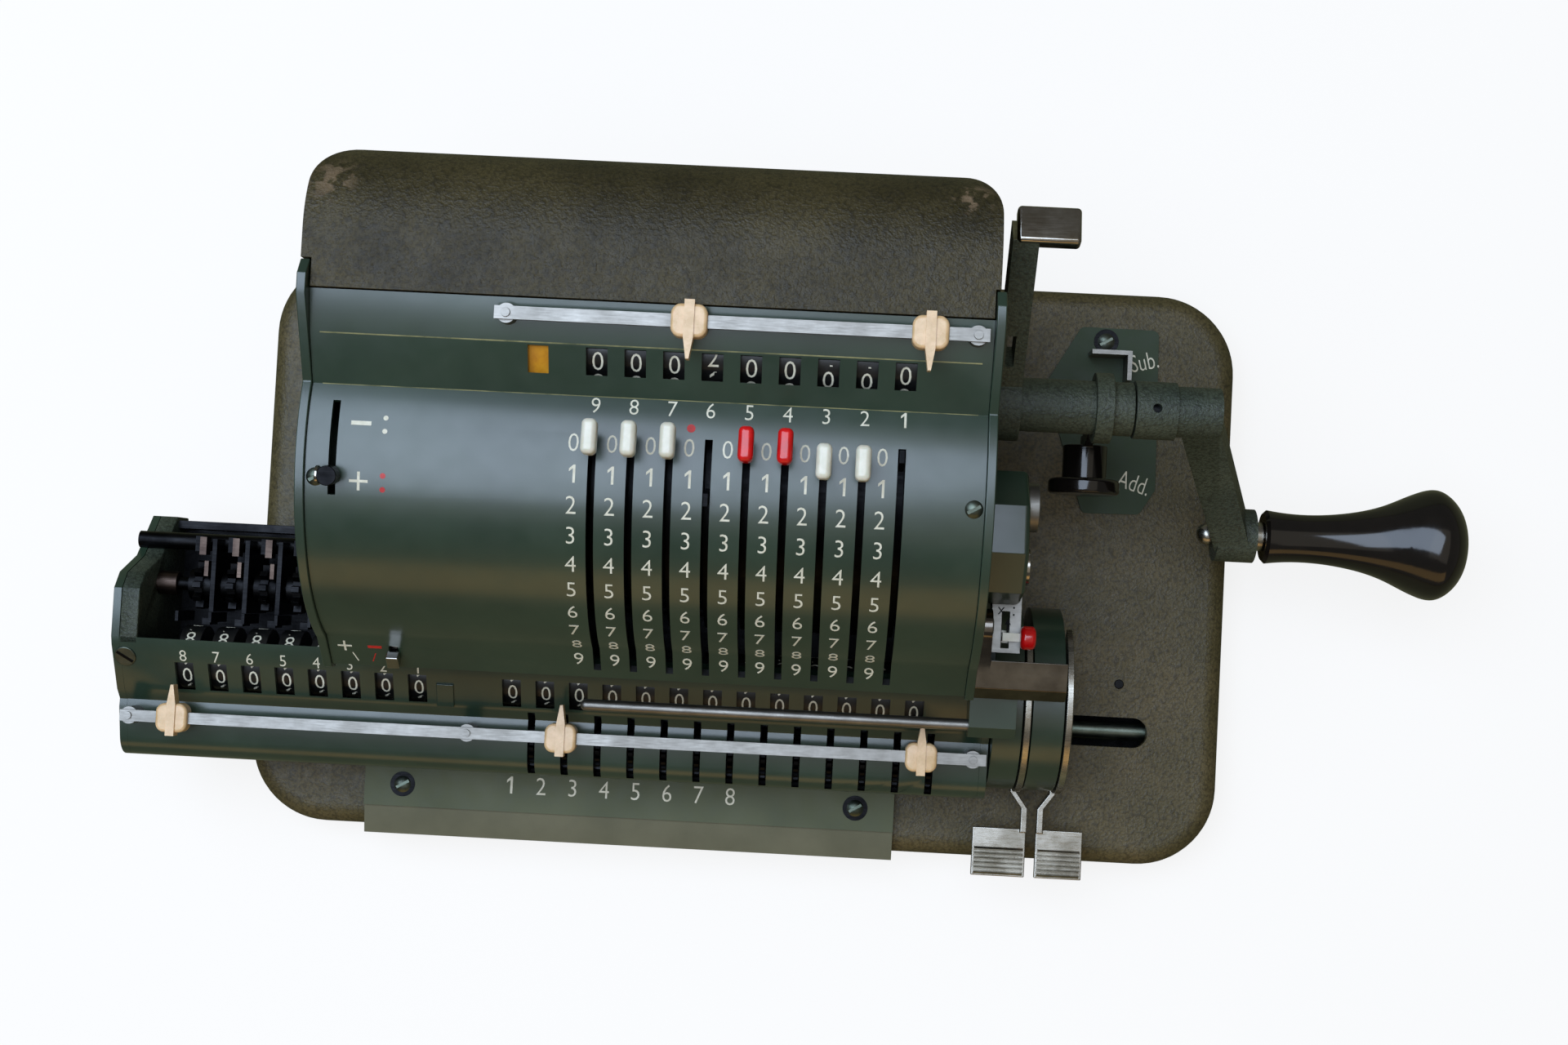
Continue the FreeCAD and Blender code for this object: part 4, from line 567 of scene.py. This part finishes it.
# dial digits: ten round each rim, with the levers' own rest positions, in steps, at the windows
checkDial = {"radius": 10.5, "tall": 5.2, "wide": 0.9, "drop": 4.0,  # drop centres the digit in its window, in degrees
             "rest": {2: 0.35, 3: 0.35, 6: 1.6}}
facetLean = math.degrees(math.atan2(facetUp.z, facetUp.y))
for number in leverNumbers:
    axis = jointAt("check_dial_%d_turn" % number)
    marks = []
    for digit in range(10):
        angle = facetLean + checkDial["drop"] - (digit - checkDial["rest"].get(number, 0.0)) * digitTurn
        onto = ontoRound(axis.x, axis, checkDial["radius"], angle)
        marks.append((str(digit), checkDial["tall"], checkDial["wide"], onto))
    inkPiece("checkDigits_%d" % number, marks, "paint", "check_dial_%d" % number)

facetFoot, facetHead = (-38.5, 60.0), (-25.0, 67.2)  # carriage facet that holds the windows
carriageUp = (place(0, *facetHead) - place(0, *facetFoot)).normalized()
counter = {"first": -98.2, "count": 8, "tall": 3.7, "wide": 0.9, "alongFacet": 12.7}
counterMarks = []
for number in range(counter["count"]):
    spot = place(counter["first"] - number * panel["pitch"], *facetFoot) + carriageUp * counter["alongFacet"] * mm
    counterMarks.append((str(number + 1), counter["tall"], counter["wide"], ontoFlat(spot, along, carriageUp)))
inkPiece("counterNumerals", counterMarks, "paint", "carriage")

register = {"radius": 9.5, "tall": 5.0, "wide": 0.9, "windowLean": 33.8,  # first column and count of each set
            "sets": {"result_dials": (50.0, 13), "counter_dials": (counter["first"], counter["count"])}}
registerAxis = jointAt("result_dials_turn")
for body, (first, count) in register["sets"].items():
    marks = []
    for number in range(count):
        x = columnFive + (first - number * panel["pitch"]) * mm
        for digit in range(10):
            onto = ontoRound(x, registerAxis, register["radius"], register["windowLean"] + digit * digitTurn)
            marks.append((str(digit), register["tall"], register["wide"], onto))
    inkPiece(body + "_digits", marks, "paint", body)
print("numerals made", len(glyphStore), "glyphs")

# small pieces that repeat, or that the solids leave out


def nodeTree(name, inputs):
    tree = bpy.data.node_groups.new(name, "GeometryNodeTree")
    tree.interface.new_socket("Geometry", in_out="OUTPUT", socket_type="NodeSocketGeometry")
    for socket, kind in inputs.items():
        tree.interface.new_socket(socket, in_out="INPUT", socket_type=kind)
    return tree, addNode(tree, "NodeGroupInput").outputs, addNode(tree, "NodeGroupOutput").inputs


def growPiece(name, tree, values, body):
    # run the tree once with its inputs set, and keep the plain mesh
    piece = link(bpy.data.objects.new(name, bpy.data.meshes.new(name)))
    grow = piece.modifiers.new("grow", "NODES")
    grow.node_group = tree
    for item in tree.interface.items_tree:
        if item.in_out == "INPUT":
            grow[item.identifier] = values[item.name]
    settle(piece)
    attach(piece, body)


# a row of blocks, for ribs and for the counter mechanism
rowTree, rowIn, rowOut = nodeTree("blockRow", {
    "Count": "NodeSocketInt", "Start": "NodeSocketVector", "Step": "NodeSocketVector", "Size": "NodeSocketVector",
    "Turn": "NodeSocketVector", "Finish": "NodeSocketMaterial"})
rowLine = addNode(rowTree, "GeometryNodeMeshLine",
                  {"Count": rowIn["Count"], "Start Location": rowIn["Start"], "Offset": rowIn["Step"]})
rowBlock = addNode(rowTree, "GeometryNodeMeshCube", {"Size": rowIn["Size"]})
rowCopies = addNode(rowTree, "GeometryNodeInstanceOnPoints", {
    "Points": rowLine.outputs["Mesh"], "Instance": rowBlock.outputs["Mesh"], "Rotation": rowIn["Turn"]})
rowReal = addNode(rowTree, "GeometryNodeRealizeInstances", {"Geometry": rowCopies.outputs["Instances"]})
addNode(rowTree, "GeometryNodeSetMaterial", {"Geometry": rowReal.outputs["Geometry"], "Material": rowIn["Finish"]},
        to=rowOut["Geometry"])

# ribs across the thumb tabs, square bars laid on their edges
tabs = {"back": -69.0, "behind": 2.0, "count": 6, "pitch": 1.45, "side": 0.85, "fromFront": 1.1, "inset": 0.7,
        "turn": 45.0}
tabBack = place(0, tabs["back"] - tabs["behind"], 0).y
for lever in ("counter_clear_lever", "result_clear_lever"):
    tabPoints = [v.co for v in nodes[lever].data.vertices if v.co.y < tabBack]
    left, right = min(p.x for p in tabPoints), max(p.x for p in tabPoints)
    front, top = min(p.y for p in tabPoints), max(p.z for p in tabPoints)
    growPiece(lever + "_ribs", rowTree, {
        "Count": tabs["count"], "Start": ((left + right) / 2, front + tabs["fromFront"] * mm, top),
        "Step": (0, tabs["pitch"] * mm, 0),
        "Size": (right - left - 2 * tabs["inset"] * mm, tabs["side"] * mm, tabs["side"] * mm),
        "Turn": (math.radians(tabs["turn"]), 0, 0), "Finish": finishes["steel"]}, bodyOf[lever])


def blockPiece(name, middle, size, right, ahead, look, body, bevelMm=0.0):
    # a plain block laid on a face: size is along right, along ahead and out of the face
    turn = Matrix((right, ahead, right.cross(ahead).normalized())).transposed()
    mesh = bpy.data.meshes.new(name)
    work = bmesh.new()
    bmesh.ops.create_cube(work, size=1.0)
    for vert in work.verts:
        vert.co = middle + turn @ Vector([c * s * mm for c, s in zip(vert.co, size)])
    bmesh.ops.recalc_face_normals(work, faces=work.faces)
    work.to_mesh(mesh)
    work.free()
    seat(name, mesh, look, body, bevelMm)


def roundPiece(name, middle, axis, radiusMm, longMm, look, body, bevelMm=0.3):
    turn = axis.to_track_quat("Z", "Y").to_matrix().to_4x4()
    mesh = bpy.data.meshes.new(name)
    work = bmesh.new()
    bmesh.ops.create_cone(work, cap_ends=True, segments=40, radius1=radiusMm * mm, radius2=radiusMm * mm,
                          depth=longMm * mm, matrix=Matrix.Translation(middle) @ turn)
    work.to_mesh(mesh)
    work.free()
    seat(name, mesh, look, body, bevelMm)


# marks on the mode plate: x, y and height
modeMarks = {"z": 84.0, "wide": 0.9, "at": {"x": (72.6, -1.4, 3.4), ":": (76.2, -1.4, 4.0), "arrow": (74.6, -6.6, 6.2)}}
modeInk = [(mark, tall, modeMarks["wide"], ontoFlat(place(x, y, modeMarks["z"]), along, across))
           for mark, (x, y, tall) in modeMarks["at"].items()]
inkPiece("modeMarks", modeInk, "blackInkAndShade", "frame")

# black sheet under the guide slot: painted shade, so that the slot reads dark and no floor shows through it
slotShade = {"x": (-158.0, 134.0), "y": -34.75, "z": 5.6, "wide": 39.5, "thick": 1.2}
slotShadeLong = slotShade["x"][1] - slotShade["x"][0]
blockPiece("guideTrough", place(sum(slotShade["x"]) / 2, slotShade["y"], slotShade["z"]),
           (slotShadeLong, slotShade["wide"], slotShade["thick"]), along, across, "blackInkAndShade", "frame")

rivet = {"at": (116.4, -22.9, 20.1), "radius": 1.5, "long": 0.8}
roundPiece("baseRivet", place(*rivet["at"]), upright, rivet["radius"], rivet["long"], "dark", "frame")
lobe = {"at": (78.2, 11.4, 93.0), "radius": 5.2, "long": 1.8}
roundPiece("housingLobe", place(*lobe["at"]), along, lobe["radius"], lobe["long"], "chrome", "frame")
signRing = {"x": -110.2, "out": 3.4, "angle": 6.7, "radius": 2.5, "long": 1.0}
ringSpot = aroundAxis(columnFive + signRing["x"] * mm, drumAxis, (panel["radius"] + signRing["out"]) * mm,
                      signRing["angle"])
roundPiece("signLeverRing", ringSpot, along, signRing["radius"], signRing["long"], "chrome", "sign_lever")
collar = {"at": (-181.0, -6.0, 50.0), "radius": 3.6, "long": 11.0}
roundPiece("carryCollar", place(*collar["at"]), along, collar["radius"], collar["long"], "brass", "carriage")

# counter mechanism behind the counter dials, one set for each column: offset, size and finish
# every piece stays 42 mm from the drum's axis, clear of the levers' rings, when the carriage shifts
comb = {"combPlates": ((5.0, -3.0, 46.25), (1.3, 22.0, 22.5), "dark"),
        "pawlLevers": ((0.0, 6.4, 52.8), (2.2, 4.6, 8.0), "dark"),
        "pawlTips": ((1.4, 5.8, 55.2), (2.0, 5.4, 4.4), "brass"),
        "carryPins": ((2.8, -1.0, 56.0), (1.2, 4.6, 3.0), "brass"),
        "detents": ((-3.9, -15.6, 54.0), (0.9, 3.0, 16.0), "dark"),
        "springBlocks": ((2.6, -17.0, 50.0), (2.4, 2.0, 8.0), "dark")}
for name, (offset, size, look) in comb.items():
    start = place(counter["first"] + offset[0], offset[1], offset[2])
    growPiece(name, rowTree, {
        "Count": counter["count"], "Start": start, "Step": (-panel["pitch"] * mm, 0, 0),
        "Size": [v * mm for v in size], "Turn": (0, 0, 0), "Finish": finishes[look]}, "carriage")

# the carriage's left end is a thick casting: the end plate's outline, carried inwards behind the cover
cheek = {"plate": 2.4, "near": 0.1, "behind": 0.6, "thick": 5.4, "edge": 0.4}


def cheekMesh():
    mesh = bpy.data.meshes.new("endCheek")
    work = bmesh.new()
    work.from_mesh(nodes["carriage_frame"].data)
    bmesh.ops.remove_doubles(work, verts=work.verts, dist=ease["weld"])
    endX = frameBox[0].x + cheek["near"] * mm
    away = [f for f in work.faces if f.normal.x > -0.99 or f.calc_center_median().x > endX]
    bmesh.ops.delete(work, geom=away, context="FACES")
    mergeFlats(work)
    behindCover = place(0, facetHead[0] + cheek["behind"], 0)
    bmesh.ops.bisect_plane(work, geom=[*work.verts, *work.edges, *work.faces], plane_co=behindCover,
                           plane_no=across, clear_inner=True)
    bmesh.ops.translate(work, verts=work.verts, vec=along * cheek["plate"] * mm)
    grown = bmesh.ops.extrude_face_region(work, geom=list(work.faces), use_keep_orig=True)
    grownVerts = [v for v in grown["geom"] if isinstance(v, bmesh.types.BMVert)]
    bmesh.ops.translate(work, verts=grownVerts, vec=along * cheek["thick"] * mm)
    bmesh.ops.recalc_face_normals(work, faces=work.faces)
    work.to_mesh(mesh)
    work.free()
    return mesh


seat("endCheek", cheekMesh(), "arm", "carriage", cheek["edge"])

# bends of the cover, each with a thin pale strip of painted highlight
coverLow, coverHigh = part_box("front_cover")
bend = {"inset": 2.6, "wide": 0.34, "proud": 0.06}
bendLong = (coverHigh.x - coverLow.x) / mm - 2 * bend["inset"]
bendMiddle = (coverLow.x + coverHigh.x) / 2
for name, spot in (("facetBend", facetTop), ("panelBend", crease)):
    blockPiece(name, Vector((bendMiddle, spot.y, spot.z)), (bendLong, bend["wide"], 2 * bend["proud"]), along, facetUp,
               "bendHighlight", "frame")

# countersinks round the plate screws, drawn as thin dark discs of painted shade, and the slotted screw and the strap on
# the carriage's facet
sink = {"radius": 3.95, "deep": 0.12, "edge": 0.05,
        "spots": ((-108.9, -66.1, 24.0), (34.7, -66.1, 24.0), (107.3, 85.8, 21.2))}
for number, spot in enumerate(sink["spots"]):
    roundPiece("screwSink_%d" % number, place(*spot), upright, sink["radius"], 2 * sink["deep"], "dark", "frame",
               sink["edge"])
endScrew = {"x": -185.6, "alongFacet": 11.6, "radius": 3.2, "high": 1.0, "slot": (5.6, 0.8, 0.3), "turn": -35.0}
facetOut = along.cross(carriageUp)
endSpot = place(endScrew["x"], *facetFoot) + carriageUp * endScrew["alongFacet"] * mm
roundPiece("endScrew", endSpot, facetOut, endScrew["radius"], endScrew["high"], "screw", "carriage")
slotTurn = Matrix.Rotation(math.radians(endScrew["turn"]), 3, facetOut)
# the slot is a raised dark bar: painted shade where the cut would be
blockPiece("endScrewSlot", endSpot + facetOut * endScrew["high"] / 2 * mm, endScrew["slot"], slotTurn @ along,
           slotTurn @ carriageUp, "dark", "carriage")
strap = {"x": -89.9, "alongFacet": 3.9, "size": (5.2, 7.8, 1.2), "edge": 0.3}
strapSpot = place(strap["x"], *facetFoot) + carriageUp * strap["alongFacet"] * mm
blockPiece("coverStrap", strapSpot, strap["size"], along, carriageUp, "green", "carriage",
           strap["edge"])

# amber flag behind its window in the facet
amber = {"x": -55.2, "y": 57.6, "deep": 1.7, "size": (7.4, 9.0, 0.4)}
alongFacet = (place(0, amber["y"], 0).y - crease.y) / facetUp.y
amberSpot = Vector((columnFive + amber["x"] * mm, crease.y, crease.z)) + facetUp * alongFacet
amberSpot -= along.cross(facetUp) * amber["deep"] * mm
blockPiece("amberFlag", amberSpot, amber["size"], along, facetUp, "amber", "frame")
print("small pieces made")

# stage: floor, lights and camera
stage = {"floor": "#f4f4f2", "mirrored": "#747150", "size": 6.0, "rough": 0.9, "glow": 0.82}
half = stage["size"] / 2
floorMesh = bpy.data.meshes.new("floor")
floorMesh.from_pydata([(-half, -half, 0), (half, -half, 0), (half, half, 0), (-half, half, 0)], [], [(0, 1, 2, 3)])
floor = link(bpy.data.objects.new("floor", floorMesh))
floorFinish = bpy.data.materials.new("paleFloor")  # pale bench paper: white to the camera, with the soft shadow kept
floorFinish.use_nodes = True
tree = floorFinish.node_tree
shader = tree.nodes["Principled BSDF"]
shader.inputs["Roughness"].default_value = stage["rough"]
glow = addNode(tree, "ShaderNodeEmission", {"Color": (1, 1, 1, 1), "Strength": 1.0})
seen = addNode(tree, "ShaderNodeLightPath").outputs["Is Camera Ray"]
tint = addNode(tree, "ShaderNodeMix", {"Factor": seen, "A": hexColour(stage["mirrored"]),  # what the enamel mirrors
                                       "B": hexColour(stage["floor"])}, data_type="RGBA")
tree.links.new(tint.outputs["Result"], shader.inputs["Base Color"])
share = addNode(tree, "ShaderNodeMath", {0: seen, 1: stage["glow"]}, operation="MULTIPLY")
addNode(tree, "ShaderNodeMixShader", {0: share.outputs["Value"], 1: shader.outputs["BSDF"],
                                      2: glow.outputs["Emission"]}, to=tree.nodes["Material Output"].inputs["Surface"])
floorMesh.materials.append(floorFinish)

sky = {"colour": "#efece2", "strength": 0.16}
world = bpy.data.worlds.new("studio")
bpy.context.scene.world = world
world.use_nodes = True
background = world.node_tree.nodes["Background"]
background.inputs["Color"].default_value = hexColour(sky["colour"])
background.inputs["Strength"].default_value = sky["strength"]

lampAim = Vector((0, 0, 0.07))
lamps = {
    "coolPanel": {"at": (-0.4, 0.21, 1.35), "size": (1.15, 1.3), "power": 24.0, "colour": "#d2e5ff"},
    "overhead": {"at": (0.3, -0.05, 2.0), "size": (2.6, 2.2), "power": 7.0, "colour": "#fff4e0"},
    "warmFront": {"at": (0.05, -1.15, 0.45), "size": (1.5, 0.45), "power": 2.0, "colour": "#ffcb78"},
}
for name, lamp in lamps.items():
    data = bpy.data.lights.new(name, "AREA")
    data.shape = "RECTANGLE"
    data.size, data.size_y = lamp["size"]
    data.energy = lamp["power"]
    data.color = hexColour(lamp["colour"])[:3]
    light = link(bpy.data.objects.new(name, data))
    light.location = lamp["at"]
    light.rotation_euler = (lampAim - light.location).to_track_quat("-Z", "Y").to_euler()

view = {"lens": 46.51, "sensor": 36.0, "at": (22.56, 0.0, 666.49), "turn": (2.105, 1.221, 2.939)}
cameraData = bpy.data.cameras.new("camera")
cameraData.lens = view["lens"]
cameraData.sensor_width = view["sensor"]
cameraData.sensor_fit = "HORIZONTAL"
camera = link(bpy.data.objects.new("camera", cameraData))
camera.location = place(*view["at"])
camera.rotation_euler = Euler([math.radians(v) for v in view["turn"]], "XYZ")
bpy.context.scene.camera = camera
bpy.context.scene.view_settings.view_transform = "Standard"
print("stage set")
